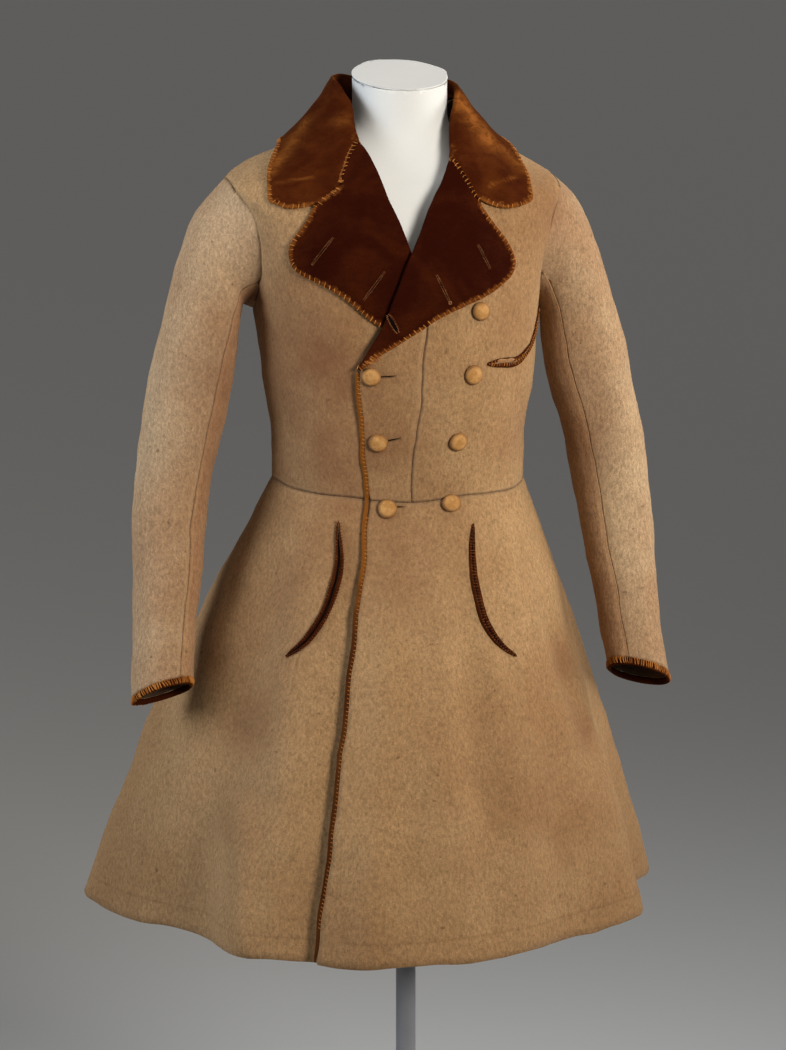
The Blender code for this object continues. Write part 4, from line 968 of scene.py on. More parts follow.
def painted_metal(name, colour):
    """Powder coat: a little cloudy, with a fine orange peel."""
    material, tree, shader = new_material(name)
    place = coordinates(tree)
    grain = noise(tree, place, 1600.0, 2.0)
    cloudy = noise(tree, place, 30.0, 3.0)
    tree.links.new(shaded(tree, colour, cloudy, 0.92, 1.05), shader.inputs["Base Color"])
    tree.links.new(ranged(tree, grain, NOISE_LOW, NOISE_HIGH, 0.38, 0.52, False), shader.inputs["Roughness"])
    tree.links.new(bumped(tree, grain, 0.1 * MM, 0.5), shader.inputs["Normal"])
    print(name, len(tree.nodes), "nodes")
    return material


button_cloth = button_material()
form_jersey = jersey_material("form_jersey", (0.625, 0.610, 0.572))
stand_paint = painted_metal("grey_powder_coat", (0.20, 0.20, 0.21))

# %% Dressing the pieces
def dress(piece, material):
    """Gives a piece one material, in place of what it came with."""
    piece.data.materials.clear()
    piece.data.materials.append(material)
    for polygon in piece.data.polygons:
        polygon.material_index = 0


for node in WOOL_NODES:
    # the under sleeves take the darker wool, as painted shade
    dress(cloth[node], wools["under" if "under" in node else "sleeves" if "sleeve" in node else "body"])
dress(cloth["collar"], collar_velvet)
for node in ("lapel_left", "lapel_right"):
    dress(cloth[node], lapel_velvet)
for node in TRIM_NODES:
    dress(cloth[node], binding_velvet if node.startswith("front") else lip_velvet)
for node in BUTTON_NODES:
    mesh = cloth[node].data
    points = points_of(mesh)
    centre = points.mean(axis=0)
    inward = np.linalg.svd(points - centre, full_matrices=False)[2][2]
    across = points - centre - np.outer((points - centre) @ inward, inward)
    reach = np.linalg.norm(across, axis=1)
    store(mesh, "reach", reach / reach.max())
    dress(cloth[node], button_cloth)
    print(node, "is", round(2 * float(reach.max()) / MM, 1), "mm across")

# %% [markdown]
# ## Hand sewing
# The velvet is held down by whip stitches: each starts on the velvet, goes over its edge and into the
# wool. One stitch is a small round ball of a few faces, drawn out along a short path. To place them,
# the rim of a wall is walked in order, and every few millimetres gives a place, the way along the edge,
# the way in from it and the way out of the cloth.

# %% Loops and runs of points along an edge
def rim_loops(bm, side):
    """The closed loops of points round a side, each in order, the longest first."""
    links = {}
    for edge in bm.edges:
        if sum(face in side for face in edge.link_faces) == 1:
            first, second = edge.verts
            links.setdefault(first.index, []).append(second.index)
            links.setdefault(second.index, []).append(first.index)
    loops = []
    while links:
        at, loop = next(iter(links)), []
        while at is not None:
            loop.append(at)
            ways = links.pop(at)
            at = next((way for way in ways if way in links), None)
        loops.append(loop)
    return sorted(loops, key=len, reverse=True)


def longest_run(loop, wanted, bridge):
    """The longest stretch of a closed loop whose points are wanted, over gaps of a few points."""
    marks = [bool(wanted(index)) for index in loop]
    if all(marks):
        return loop + loop[:1]
    start = next(i for i, mark in enumerate(marks) if not mark)
    loop, marks = loop[start:] + loop[:start], marks[start:] + marks[:start]
    runs, gap = [[]], 0
    for index, mark in zip(loop, marks):
        gap = 0 if mark else gap + 1
        if mark or (runs[-1] and gap <= bridge):
            runs[-1].append((index, mark))
        elif runs[-1]:
            runs.append([])
    best = max(runs, key=lambda run: sum(mark for _, mark in run))
    while best and not best[-1][1]:
        best.pop()
    return [index for index, _ in best]


# %% Stations along an edge
LOOK_BACK, LOOK_ON = 2, 3  # points behind and ahead that give the way along an edge


def stations(bm, side, run, step):
    """Evenly along a run: the place, the way along, the way in over the cloth, and the way out of it."""
    bm.verts.ensure_lookup_table()
    rows = []
    for index in run:
        vert = bm.verts[index]
        faces = [face for face in vert.link_faces if face in side]
        middle = sum((face.calc_center_median() for face in faces), Vector()) / len(faces)
        rows.append((vert.co.copy(), middle - vert.co, sum((face.normal for face in faces), Vector()).normalized()))
    gone = [0.0]
    for before, after in zip(rows, rows[1:]):
        gone.append(gone[-1] + (after[0] - before[0]).length)
    found, at = [], 0
    count = max(1, int(gone[-1] / step))
    for number in range(count):
        want = gone[-1] * (number + 0.5) / count
        while gone[at + 1] < want:
            at += 1
        share = (want - gone[at]) / max(gone[at + 1] - gone[at], TINY)
        first, last = rows[max(at - LOOK_BACK, 0)], rows[min(at + LOOK_ON, len(rows) - 1)]
        place = rows[at][0].lerp(rows[at + 1][0], share)
        normal = (rows[at][2] + rows[at + 1][2]).normalized()
        ahead = (last[0] - first[0]).normalized()
        inward = rows[at][1] + rows[at + 1][1]
        inward = (inward - ahead * inward.dot(ahead) - normal * inward.dot(normal)).normalized()
        found.append((place, ahead, inward, normal))
    return found


def outside_of(piece):
    """A bmesh of a finished wall, and the set of the faces on its outside."""
    bm = bmesh.new()
    bm.from_mesh(piece.data)
    bm.verts.ensure_lookup_table()
    number = bm.faces.layers.int["side"]
    return bm, {face for face in bm.faces if face[number] == FACE_SIDE}


bm, side = outside_of(cloth["collar"])
print("the collar's edge has", len(rim_loops(bm, side)[0]), "points")
bm.free()

# %% Laying things on a surface
def surface_of(*pieces):
    """Trees of the finished shapes of some pieces, to lay things on."""
    trees = []
    for piece in pieces:
        bm = bmesh.new()
        bm.from_mesh(piece.data)
        trees.append(BVHTree.FromBMesh(bm))
        bm.free()
    return trees


LAY_ABOVE, LAY_DEPTH = 6 * MM, 9 * MM  # how far above a point the look for a surface starts, and how deep it goes


def laid(point, normal, surfaces, lift):
    """A point moved along the normal until it lies on the outermost surface there."""
    best = None
    for surface in surfaces:
        hit, _, _, far = surface.ray_cast(point + normal * LAY_ABOVE, -normal, LAY_DEPTH)
        if hit is not None and (best is None or far < best[1]):
            best = (hit, far)
    return (best[0] if best else point) + normal * lift


# %% One stitch
PATH_END = 0.9999  # just short of the end, so that there is always a point ahead


def on_path(path, share):
    """A place along a path of points, and the way ahead there."""
    at = min(max(share, 0.0), PATH_END) * (len(path) - 1)
    i = int(at)
    before, after = path[max(i - 1, 0)], path[min(i + 2, len(path) - 1)]
    place = path[i].lerp(path[i + 1], at - i)
    return place, ((path[i + 1] - path[i]).normalized() + (after - before).normalized() * 0.5).normalized()


POLE = 1e-6  # nearer to its axis than this, a point is a pole of the ball


def thread(bm, path, up, radius, flat=1.0, around=6, rings=6, taper=2.4):
    """One stitch: a ball drawn out along a path, flattened if flat is less than 1."""
    ball = bmesh.ops.create_uvsphere(bm, u_segments=around, v_segments=rings, radius=1.0)["verts"]
    for vert in ball:
        share = math.acos(max(-1.0, min(1.0, vert.co.z))) / math.pi
        place, ahead = on_path(path, share)
        across = up.cross(ahead).normalized()
        lift = ahead.cross(across)
        girth = math.hypot(vert.co.x, vert.co.y)
        turn = Vector((vert.co.x, vert.co.y)) / girth if girth > POLE else Vector((0.0, 0.0))
        wide = radius * min(1.0, taper * girth) if girth > POLE else 0.0
        vert.co = place + (lift * turn.x * flat + across * turn.y) * wide


# %% Rows of stitches
def whip_stitches(bm, places, surfaces, reach, over, radius, draw, slant=1.2 * MM, drop=1.5 * MM):
    """Stitches from the cloth, over its edge: reach in from the edge, over past it."""
    for place, ahead, inward, normal in places:
        lean = slant * draw.uniform(0.5, 1.6)
        length = reach * draw.uniform(0.82, 1.12)
        place = place + ahead * draw.uniform(-0.6, 0.6) * MM
        start = laid(place + inward * length + ahead * lean, normal, surfaces, 0.1 * MM)
        middle = laid(place + inward * length * 0.5 + ahead * lean * 0.5, normal, surfaces, radius * 1.1)
        edge = laid(place + inward * 0.4 * MM, normal, surfaces, radius * 0.8)
        end = laid(place - inward * over, normal, surfaces, 0.0)
        if (end - place).dot(normal) < -drop:  # the edge stands clear of the wool: the stitch goes down behind it
            end = place - inward * over * 0.6 - normal * drop
        thread(bm, [start, middle, edge, end], normal, radius * draw.uniform(0.85, 1.15))


def stitch_path(station, surfaces, lean, rows):
    """The path of a stitch; each row is mm in from the edge, a share of the lean along it, and mm proud."""
    place, ahead, inward, normal = station
    return [
        laid(place + inward * into * MM + ahead * lean * share, normal, surfaces, proud * MM)
        for into, share, proud in rows
    ]


def finished(bm, name, material):
    """The object of a bmesh, smooth-shaded, in one material."""
    mesh = bpy.data.meshes.new(name)
    bm.to_mesh(mesh)
    bm.free()
    mesh.shade_smooth()
    mesh.materials.append(material)
    piece = bpy.data.objects.new(name, mesh)
    bpy.context.scene.collection.objects.link(piece)
    print(name, len(mesh.polygons), "faces")
    return piece


# %% Thread and shadow materials
LOW_UP_TO, HIGH_FROM = 0.88, 1.02  # heights between which a thread with a low tone changes to it


def thread_material(name, pale, deep, low=None):
    """Silk thread, in two tones along the stitches; low is the tone near the hem, if it differs."""
    material, tree, shader = new_material(name)
    place = coordinates(tree)
    tone = ranged(tree, noise(tree, place, 90.0, 2.0), 0.35, 0.65)
    colour = mixed(tree, tone, deep, pale)
    if low is not None:
        height = add(tree, "SeparateXYZ", {"Vector": place}).outputs["Z"]
        worn = ragged(tree, height, noise(tree, place, 14.0, 3.0), 0.25)
        colour = mixed(tree, ranged(tree, worn, LOW_UP_TO, HIGH_FROM), low, colour)
    fuzz = noise(tree, place, 1500.0, 2.0)
    tree.links.new(shaded(tree, colour, fuzz, 0.8, 1.2), shader.inputs["Base Color"])
    tree.links.new(bumped(tree, fuzz, 0.3 * MM, 0.6), shader.inputs["Normal"])
    set_shader(shader, 0.8, 0.03)
    print(name, len(tree.nodes), "nodes")
    return material


# Each thread: its pale tone, its deep tone and, for the front edge, its tone near the hem.
edge_thread = thread_material("edge_thread", (0.39, 0.148, 0.033), (0.23, 0.071, 0.014))
hole_thread = thread_material("buttonhole_thread", (0.30, 0.125, 0.048), (0.15, 0.050, 0.015))
lip_thread = thread_material("lip_thread", (0.190, 0.056, 0.014), (0.075, 0.020, 0.006))
front_thread = thread_material("front_thread", (0.50, 0.185, 0.034), (0.40, 0.130, 0.022), (0.40, 0.135, 0.026))
wool_thread = thread_material("wool_thread", (0.30, 0.165, 0.080), (0.15, 0.075, 0.035))
# painted shade: a near-black thread laid in the open slits of the buttonholes and the skirt pockets
dark_gap = thread_material("dark_gap", (0.005, 0.002, 0.001), (0.003, 0.001, 0.001))

# %% [markdown]
# The collar and the lapels are whipped down along their free edges. The gorge, where a lapel meets the
# collar, is whipped over a narrow tape from both sides. So the rim of each piece is parted into its free
# run and its gorge, by what lies close to it. Where the left front covers the right lapel, none is sewn.

# %% Parting a rim into its free edge and its gorge
FRONT = Vector((0.0, -1.0, 0.0))
GORGE_NEAR = 4 * MM
WOOL_NEAR = 5 * MM  # a rim this close to the rim of the wool is sewn into its seam
FREE_BRIDGE, GORGE_BRIDGE = 12, 6  # points that a run may skip
COVER_CLEAR, COVER_DEPTH = 4 * MM, 60 * MM  # where a look for a cover starts, and how far it goes
moved_trees = {
    node: tree_of([Vector(point) for point in waved(notched(np.array(points), node))]) for node, points in rims.items()
}


def uncovered(places, covers):
    """The places with nothing in front of them."""
    rays = [(row, row[0] + FRONT * COVER_CLEAR) for row in places]
    return [row for row, eye in rays if all(cover.ray_cast(eye, FRONT, COVER_DEPTH)[0] is None for cover in covers)]


def near(point, names, limit):
    """Whether a point is closer than a limit to the rims of some pieces."""
    return any(moved_trees[name].find(point)[2] < limit for name in names)


def parted(bm, side, node):
    """The free run and the gorge of a turned-back piece, as points of its rim in order."""
    gorge = ("lapel_left", "lapel_right") if node == "collar" else ("collar",)
    sewn_in = [other for other in WOOL_NODES if other.startswith(("forepart", "back_"))]
    if node != "collar":
        sewn_in = ROLLS_OVER[node]
    loop = rim_loops(bm, side)[0]

    def is_gorge(index):
        return near(bm.verts[index].co, gorge, GORGE_NEAR)

    def is_free(index):
        return not is_gorge(index) and not near(bm.verts[index].co, sewn_in, WOOL_NEAR)

    free, met = longest_run(loop, is_free, FREE_BRIDGE), longest_run(loop, is_gorge, GORGE_BRIDGE)
    print(node, "points on the free edge:", len(free), "and on the gorge:", len(met))
    return free, met


# %% Collar and lapel stitches
EDGE_STEP, EDGE_REACH, EDGE_OVER = 6.6 * MM, 5.6 * MM, 1.0 * MM
EDGE_RADIUS = 0.64 * MM
GORGE_STEP, GORGE_REACH, GORGE_RADIUS, GORGE_DROP = 5.5 * MM, 3.4 * MM, 0.50 * MM, 4 * MM
TAPE_HALF, TAPE_FLAT, TAPE_UNDER = 2.4 * MM, 0.25, 0.7 * MM
STITCH_SEED = 21
draw = random.Random(STITCH_SEED)
sewn_bm, gorge_bm, tape_bm = bmesh.new(), bmesh.new(), bmesh.new()
for node in VELVET_NODES:
    bm, side = outside_of(cloth[node])
    free, gorge = parted(bm, side, node)
    places = stations(bm, side, free, EDGE_STEP)
    under = ["forepart_left", "forepart_right", "back_left", "back_right"]
    if node == "lapel_right":
        places = uncovered(places, surface_of(*(cloth[name] for name in ("lapel_left", *ROLLS_OVER["lapel_left"]))))
        under = under[1:]
    surfaces = surface_of(cloth[node], *(cloth[name] for name in under))
    print(node, "edge stitches:", len(places))
    whip_stitches(sewn_bm, places, surfaces, EDGE_REACH, EDGE_OVER, EDGE_RADIUS, draw)
    if node != "collar":
        both = surface_of(cloth[node], cloth["collar"])
        places = stations(bm, side, gorge, GORGE_STEP)
        print(node, "gorge stitches:", len(places))
        whip_stitches(gorge_bm, places, both, GORGE_REACH, GORGE_REACH, GORGE_RADIUS, draw, drop=GORGE_DROP)
        tape = [place - normal * TAPE_UNDER for place, ahead, inward, normal in places]
        thread(tape_bm, tape, places[0][3], TAPE_HALF, flat=TAPE_FLAT, around=8, rings=30, taper=6.0)
    bm.free()
stitches = [
    finished(sewn_bm, "velvet_edge_stitches", edge_thread),
    finished(gorge_bm, "gorge_stitches", edge_thread),
    finished(tape_bm, "gorge_tape", lip_thread),
]

# %% [markdown]
# ## Buttonholes
# A worked buttonhole is a slit with a row of small tight stitches along each lip. The slit is a flat
# near-black thread, painted shade for the gap, and each lip is a row of very short stitches at right
# angles to it. One hole has a round eye at its end, and one has been pulled open by use.

# %% A worked buttonhole
HOLE_PITCH = 1.35 * MM
HOLE_RADIUS, EYE_RADIUS = 0.30 * MM, 0.45 * MM
SLIT_STEPS = 8
SLIT_HIGH = 0.35 * MM  # how far the slit's painted shade stands up, so that it fills the gap and no more
EYE_RAYS = 10


def hole_lips(stitch_bm, start, end, out, surfaces, lip, open_by):
    """The two rows of stitches along a slit."""
    ahead = (end - start).normalized()
    side = ahead.cross(out).normalized()
    count = int((end - start).length / HOLE_PITCH)
    for number in range(count + 1):
        share = number / count
        gape = open_by * math.sin(math.pi * min(max(share, 0.03), 0.97)) ** 0.6
        place = start.lerp(end, share) + ahead * draw.uniform(-0.2, 0.2) * MM
        for way in (-1, 1):
            inner = laid(place + side * way * gape, out, surfaces, 0.25 * MM)
            outer = laid(place + side * way * (gape + lip * draw.uniform(0.8, 1.1)), out, surfaces, 0.05 * MM)
            high = laid(inner.lerp(outer, 0.4), out, surfaces, 0.42 * MM)
            thread(stitch_bm, [inner, high, outer], out, HOLE_RADIUS, around=5, rings=4)


def hole_eye(stitch_bm, start, end, out, surfaces, eye):
    """The ring of stitches round the eye at the end of a slit."""
    ahead = (end - start).normalized()
    side = ahead.cross(out).normalized()
    for number in range(EYE_RAYS):
        turn = 2 * math.pi * number / EYE_RAYS
        ray = ahead * math.cos(turn) + side * math.sin(turn)
        inner = laid(end + ray * eye * 0.5, out, surfaces, 0.3 * MM)
        outer = laid(end + ray * (eye + 1.0 * MM), out, surfaces, 0.1 * MM)
        high = inner.lerp(outer, 0.5) + out * 0.35 * MM
        thread(stitch_bm, [inner, high, outer], out, EYE_RADIUS, around=5, rings=4)


def worked_hole(stitch_bm, slit_shade_bm, start, end, out, surfaces, lip, open_by, eye=0.0):
    """A buttonhole from start to end: lip is how far its stitches reach, eye the radius of a round end."""
    middle = [laid(start.lerp(end, at / SLIT_STEPS), out, surfaces, 0.1 * MM) for at in range(SLIT_STEPS + 1)]
    # the slit: a near-black thread, as painted shade
    thread(slit_shade_bm, middle, out, open_by + 0.12 * MM, flat=min(0.6, SLIT_HIGH / open_by), rings=14, taper=1.4)
    hole_lips(stitch_bm, start, end, out, surfaces, lip, open_by)
    if eye:
        hole_eye(stitch_bm, start, end, out, surfaces, eye)


def mm(*place):
    """A place given in millimetres."""
    return Vector(place) * MM


print("stitches in a centimetre of lip:", round(10 * MM / HOLE_PITCH, 1))


# %% The lapels' buttonholes
hole_bm, slit_shade_bm = bmesh.new(), bmesh.new()
LAPEL_HOLES = (  # the piece, its two ends, how far its lips reach, how far it gapes, and its eye
    ("lapel_right", mm(-127.4, -80.2, 1325), mm(-103.6, -86.3, 1356.6), 1.5 * MM, 0.5 * MM, 0.0),
    ("lapel_right", mm(-69.7, -100.1, 1285.1), mm(-44.5, -98.3, 1317), 1.5 * MM, 0.5 * MM, 0.0),
    ("lapel_left", mm(14.8, -104.2, 1312.9), mm(31.3, -105.4, 1279.9), 1.5 * MM, 0.5 * MM, 1.6 * MM),
    ("lapel_left", mm(81.4, -93.4, 1318.4), mm(67.1, -92.9, 1345.6), 1.5 * MM, 0.5 * MM, 0.0),
    ("lapel_left", mm(-42.4, -106.1, 1267.6), mm(-31.2, -109.0, 1246.7), 2.4 * MM, 2.0 * MM, 0.0),
)
for node, start, end, lip, open_by, eye in LAPEL_HOLES:
    surfaces = surface_of(cloth[node])
    out = surfaces[0].find_nearest(start.lerp(end, 0.5) + FRONT * 5 * MM)[1]
    worked_hole(hole_bm, slit_shade_bm, start, end, out, surfaces, lip, open_by, eye)
    print(node, "buttonhole:", round((end - start).length / MM, 1), "mm")
stitches.append(finished(hole_bm, "lapel_buttonholes", hole_thread))

# %% The front edge's buttonholes
front_bm = bmesh.new()
FRONT_HOLES = (  # the button that goes through, and the far end of the hole
    ("button_right_2", mm(-31.7, -99.5, 1194.9)),
    ("button_right_3", mm(-23.5, -88.3, 1119.7)),
    ("button_right_4", mm(-15.0, -75.6, 1035.2)),
)
front_surfaces = surface_of(cloth["lapel_strip_left"], cloth["skirt_left"], cloth["forepart_left"])
for node, end in FRONT_HOLES:
    low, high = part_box(node)
    start = (low + high) / 2
    out = (FRONT + Vector((start.x, 0, 0)) * 1.5).normalized()
    worked_hole(front_bm, slit_shade_bm, start, end, out, front_surfaces, lip=1.6 * MM, open_by=0.6 * MM)
    print(node, "buttonhole:", round((end - start).length / MM, 1), "mm from the button's middle")
stitches.append(finished(front_bm, "front_buttonholes", wool_thread))

# %% [markdown]
# ## Pockets, cuffs and the front edge
# The slit pockets have padded velvet lips, whipped down all round, and a near-black mouth that is
# painted shade. The chest pocket's lips gape and show the wool inside, darkened as painted shade. The
# cuffs and the front edge are bound in velvet, which is whipped to the wool over its whole width.

# %% The line down the middle of a pocket
def slit_middle(slit, axis):
    """The points down the middle of a slit, in order along an axis, from the loop of points round it."""
    halves = []
    for point in slit:
        across = min((other for other in slit if other is not point), key=lambda other: (other - point).length)
        halves.append((point + across) / 2)
    halves.sort(key=lambda point: point[axis])
    return [(a + b) / 2 for a, b in zip(halves[::2], halves[1::2])]


def carried_cage(node):
    """The cage of a trim, carried along by the waves and the folds as its smooth copy is."""
    cage = quad_cage(node)
    for vert in cage.verts:
        vert.co = Vector(folded(waved(np.array([vert.co])), node)[0])
    cage.normal_update()
    cage.faces.ensure_lookup_table()
    print(node, "cage faces:", len(cage.faces))
    return cage


# %% Pocket mouths and their stitches
# painted shade: how far the wool in the chest pocket's mouth is darkened
MOUTH_SHADE = 0.40
MOUTH_LONG = 0.55  # of the chest pocket's length: the part where its lips gape and show the wool
MOUTH_HALF, SLIT_HALF = 2.7 * MM, 1.15 * MM
CHEST_STEP, POCKET_STEP = 3.9 * MM, 3.6 * MM
CHEST_STITCH, POCKET_STITCH = (3.0 * MM, 2.0 * MM, 0.55 * MM), (2.6 * MM, 2.2 * MM, 0.42 * MM)  # reach, over, radius
X_AXIS, Z_AXIS = 0, 2
pocket_bm, chest_bm, mouth_bm = bmesh.new(), bmesh.new(), bmesh.new()
for node in ("skirt_pocket_left", "skirt_pocket_right", "chest_pocket"):
    chest = node == "chest_pocket"
    cage = carried_cage(node)
    side = max(spread(cage, ()), key=lambda side: sum(-face.normal.y * face.calc_area() for face in side))
    loops = rim_loops(cage, side)
    cage.verts.ensure_lookup_table()
    middle = slit_middle([cage.verts[index].co for index in loops[1]], X_AXIS if chest else Z_AXIS)
    surfaces = surface_of(cloth[node], cloth["forepart_left" if chest else node.replace("pocket_", "")])
    out = sum((face.normal for face in side), Vector()).normalized()
    if chest:
        middle = middle[: int(len(middle) * MOUTH_LONG)]
        opening = [laid(point, out, surfaces, 0.15 * MM) for point in middle]
        thread(mouth_bm, opening, out, MOUTH_HALF, flat=0.3, around=8, rings=24, taper=1.3)
    else:
        opening = [laid(point, out, surfaces[1:], 0.9 * MM) for point in middle]
        # the mouth: a near-black thread, as painted shade
        thread(slit_shade_bm, opening, out, SLIT_HALF, flat=0.45, rings=24, taper=2.0)
    places = stations(cage, side, loops[0] + loops[0][:1], CHEST_STEP if chest else POCKET_STEP)
    reach, over, radius = CHEST_STITCH if chest else POCKET_STITCH
    whip_stitches(chest_bm if chest else pocket_bm, places, surfaces, reach, over, radius, draw, slant=0.6 * MM)
    print(node, "stitches:", len(places))
    cage.free()
stitches.append(finished(pocket_bm, "pocket_stitches", lip_thread))
stitches.append(finished(chest_bm, "chest_pocket_stitches", edge_thread))
stitches.append(finished(mouth_bm, "chest_pocket_mouth", wools["body"]))
# the wool in the mouth is darkened as painted shade
for name, value in (("seam", FAR), ("edge", FAR), ("hem", FAR), ("soil", MOUTH_SHADE)):
    store(stitches[-1].data, name, np.full(len(stitches[-1].data.vertices), value))
# the painted shade of all the slits
stitches.append(finished(slit_shade_bm, "dark_slits", dark_gap))

# %% Cuff stitches
CUFF_STEP, CUFF_RADIUS = 2.9 * MM, 0.80 * MM
CUFF_PATH = ((-1.6, 0.0, 0.1), (1.2, 0.3, 0.9), (4.6, 0.7, 0.9))  # from the wool, over the edge,
CUFF_END = (7.6, 0.9)  # and to here inside the cuff: mm in, and mm under the outside
cuff_bm = bmesh.new()
for word in ("left", "right"):
    cage = carried_cage(f"cuff_edge_{word}")
    centre = sum((vert.co for vert in cage.verts), Vector()) / len(cage.verts)
    side = max(spread(cage, ()), key=lambda side: outwardness(side, centre))
    cage.verts.ensure_lookup_table()
    upper = max(rim_loops(cage, side), key=lambda loop: sum(cage.verts[i].co.z for i in loop) / len(loop))
    surfaces = surface_of(cloth[f"cuff_edge_{word}"], cloth[f"top_sleeve_{word}"], cloth[f"under_sleeve_{word}"])
    places = stations(cage, side, upper + upper[:1], CUFF_STEP)
    for station in places:
        place, ahead, inward, normal = station
        lean = draw.uniform(0.6, 4.2) * MM
        path = stitch_path(station, surfaces, lean, CUFF_PATH)
        path.append(place + inward * CUFF_END[0] * MM + ahead * lean - normal * CUFF_END[1] * MM)
        thread(cuff_bm, path, normal, CUFF_RADIUS * draw.uniform(0.7, 1.2))
    print("cuff", word, "stitches:", len(places))
    cage.free()
stitches.append(finished(cuff_bm, "cuff_stitches", edge_thread))

# %% Front edge stitches
FRONT_STEP, FRONT_RADIUS = 4.8 * MM, 0.40 * MM
FRONT_PATH = ((2.0, 0.0, 0.1), (-0.2, -0.3, 0.4), (-1.6, -0.7, 0.4), (-3.4, -1.0, -0.2))
STRIP_NEAR, STRIP_BRIDGE = 1.6 * MM, 20  # how close the wool's rim is to its binding, and the points a run may skip
front_edge_bm = bmesh.new()
for node, strip in (("lapel_strip_left", "front_binding_bodice"), ("skirt_left", "front_binding_skirt")):
    bm, side = outside_of(cloth[node])
    trim = tree_of([vert.co for vert in cloth[strip].data.vertices])
    run = longest_run(rim_loops(bm, side)[0], lambda i: trim.find(bm.verts[i].co)[2] < STRIP_NEAR, STRIP_BRIDGE)
    surfaces = surface_of(cloth[node], cloth[strip])
    places = stations(bm, side, run, FRONT_STEP)
    for station in places:
        lean = draw.uniform(0.8, 2.2) * MM
        path = stitch_path(station, surfaces, lean, FRONT_PATH)
        thread(front_edge_bm, path, station[3], FRONT_RADIUS * draw.uniform(0.8, 1.2))
    print(strip, "stitches:", len(places))
    bm.free()
stitches.append(finished(front_edge_bm, "front_edge_stitches", front_thread))

# %% [markdown]
# ## The form and its stand
# These are smooth copies too. Only the neck and a little of the pole show. The neck's sides are made
# straight and drawn up to a thinner lid, and its top leans to the front.

# %% The neck of the form
FORM_LEVELS = 2
form = smooth_copy("form_torso", FORM_LEVELS)
lid = smooth_copy("form_neck_lid", FORM_LEVELS)
LID_KEPT = 0.30  # of the lid's thickness: the neck rises to meet it
NECK_LEAN = 0.20  # how far the top of the neck drops for each metre towards the front
NECK_FROM, NECK_RISE = 1.42, 0.11
NECK_PLAIN, NECK_STRAIGHT = 1.435, 1.500  # between these heights the neck draws in to the size of the lid
NECK_SHY = 0.99  # the neck's size under the lid, as a share of the lid's
NECK_SIDE = 0.85  # further out than this share, a point is on the side of the neck and not its flat top
lid_low, lid_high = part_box("form_neck_lid")
lid_under = lid_high.z - (lid_high.z - lid_low.z) * LID_KEPT
neck_middle = np.array((lid_low + lid_high)[:2]) / 2
lid_half = np.array((lid_high - lid_low)[:2]) / 2


def about_neck(points):
    """Each point's angle about the middle of the neck, and its distance from there."""
    off = points[:, :2] - neck_middle
    return np.arctan2(off[:, 1], off[:, 0]), np.maximum(np.linalg.norm(off, axis=1), TINY)


def neck_drawn_up(points):
    """The neck stretched up to the underside of the lid, with straight sides."""
    moved = points.copy()
    share = np.clip((points[:, 2] - NECK_FROM) / (lid_low.z - NECK_FROM), 0.0, 1.0)
    moved[:, 2] = np.minimum(points[:, 2] + (lid_under - lid_low.z) * share, lid_under)
    angle, reach = about_neck(moved)
    top = 1 / np.linalg.norm(np.stack((np.cos(angle), np.sin(angle)), axis=1) / lid_half, axis=1)
    rise = np.clip((moved[:, 2] - NECK_PLAIN) / (NECK_STRAIGHT - NECK_PLAIN), 0.0, 1.0)
    rise = rise * rise * (3 - 2 * rise)
    top = top * NECK_SHY
    side = (moved[:, 2] > NECK_PLAIN) & (reach > NECK_SIDE * top)
    scale = np.where(side, 1 + (top / reach - 1) * rise, 1.0)
    moved[:, :2] = neck_middle + (moved[:, :2] - neck_middle) * scale[:, None]
    return moved


print("the neck now meets the lid at", round(lid_under, 4), "m")

# %% Form and stand
for piece in (form, lid):
    points = points_of(piece.data)
    if piece is lid:
        points[:, 2] = lid_high.z - (lid_high.z - points[:, 2]) * LID_KEPT
    else:
        points = neck_drawn_up(points)
    share = np.clip((points[:, 2] - NECK_FROM) / NECK_RISE, 0.0, 1.0)
    points[:, 2] += (points[:, 1] - lid_high.y) * NECK_LEAN * share
    set_points(piece.data, points)
    dress(piece, form_jersey)
    print(piece.name, "top at", round(float(points[:, 2].max()), 4))
stand = {}
for node in ("stand_base", "stand_pole", "stand_flange"):
    stand[node] = smooth_copy(node, FORM_LEVELS)
    dress(stand[node], stand_paint)
    print(node, len(stand[node].data.polygons), "faces")

# %% [markdown]
# ## The cuts of the cloth
# Every wall of cloth is a sheet: its flat cut is given as a width and a length, with the area of the
# cut, as none is a rectangle. The velvet trims are too narrow to be sheets of their own.

# %% Slots and bodies
SLOTS = {"collar": "collar_velvet", "lapel_left": "lapel_velvet", "lapel_right": "lapel_velvet"}
SLOTS |= dict.fromkeys(WOOL_NODES, "wool")
SLOTS |= dict.fromkeys(TRIM_NODES, "edge_velvet")
SLOTS |= dict.fromkeys(BUTTON_NODES, "covered_button")
for node, piece in cloth.items():
    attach(piece, "root")
    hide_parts(node)
for piece in stitches:
    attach(piece, "root")
for node, piece in {"form_torso": form, "form_neck_lid": lid, **stand}.items():
    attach(piece, "root")
    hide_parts(node)
print("pieces:", len(cloth) + len(stitches) + len(stand) + 2)

# %% Sheets
MIRRORED = "side_body back skirt back_skirt top_sleeve under_sleeve".split()
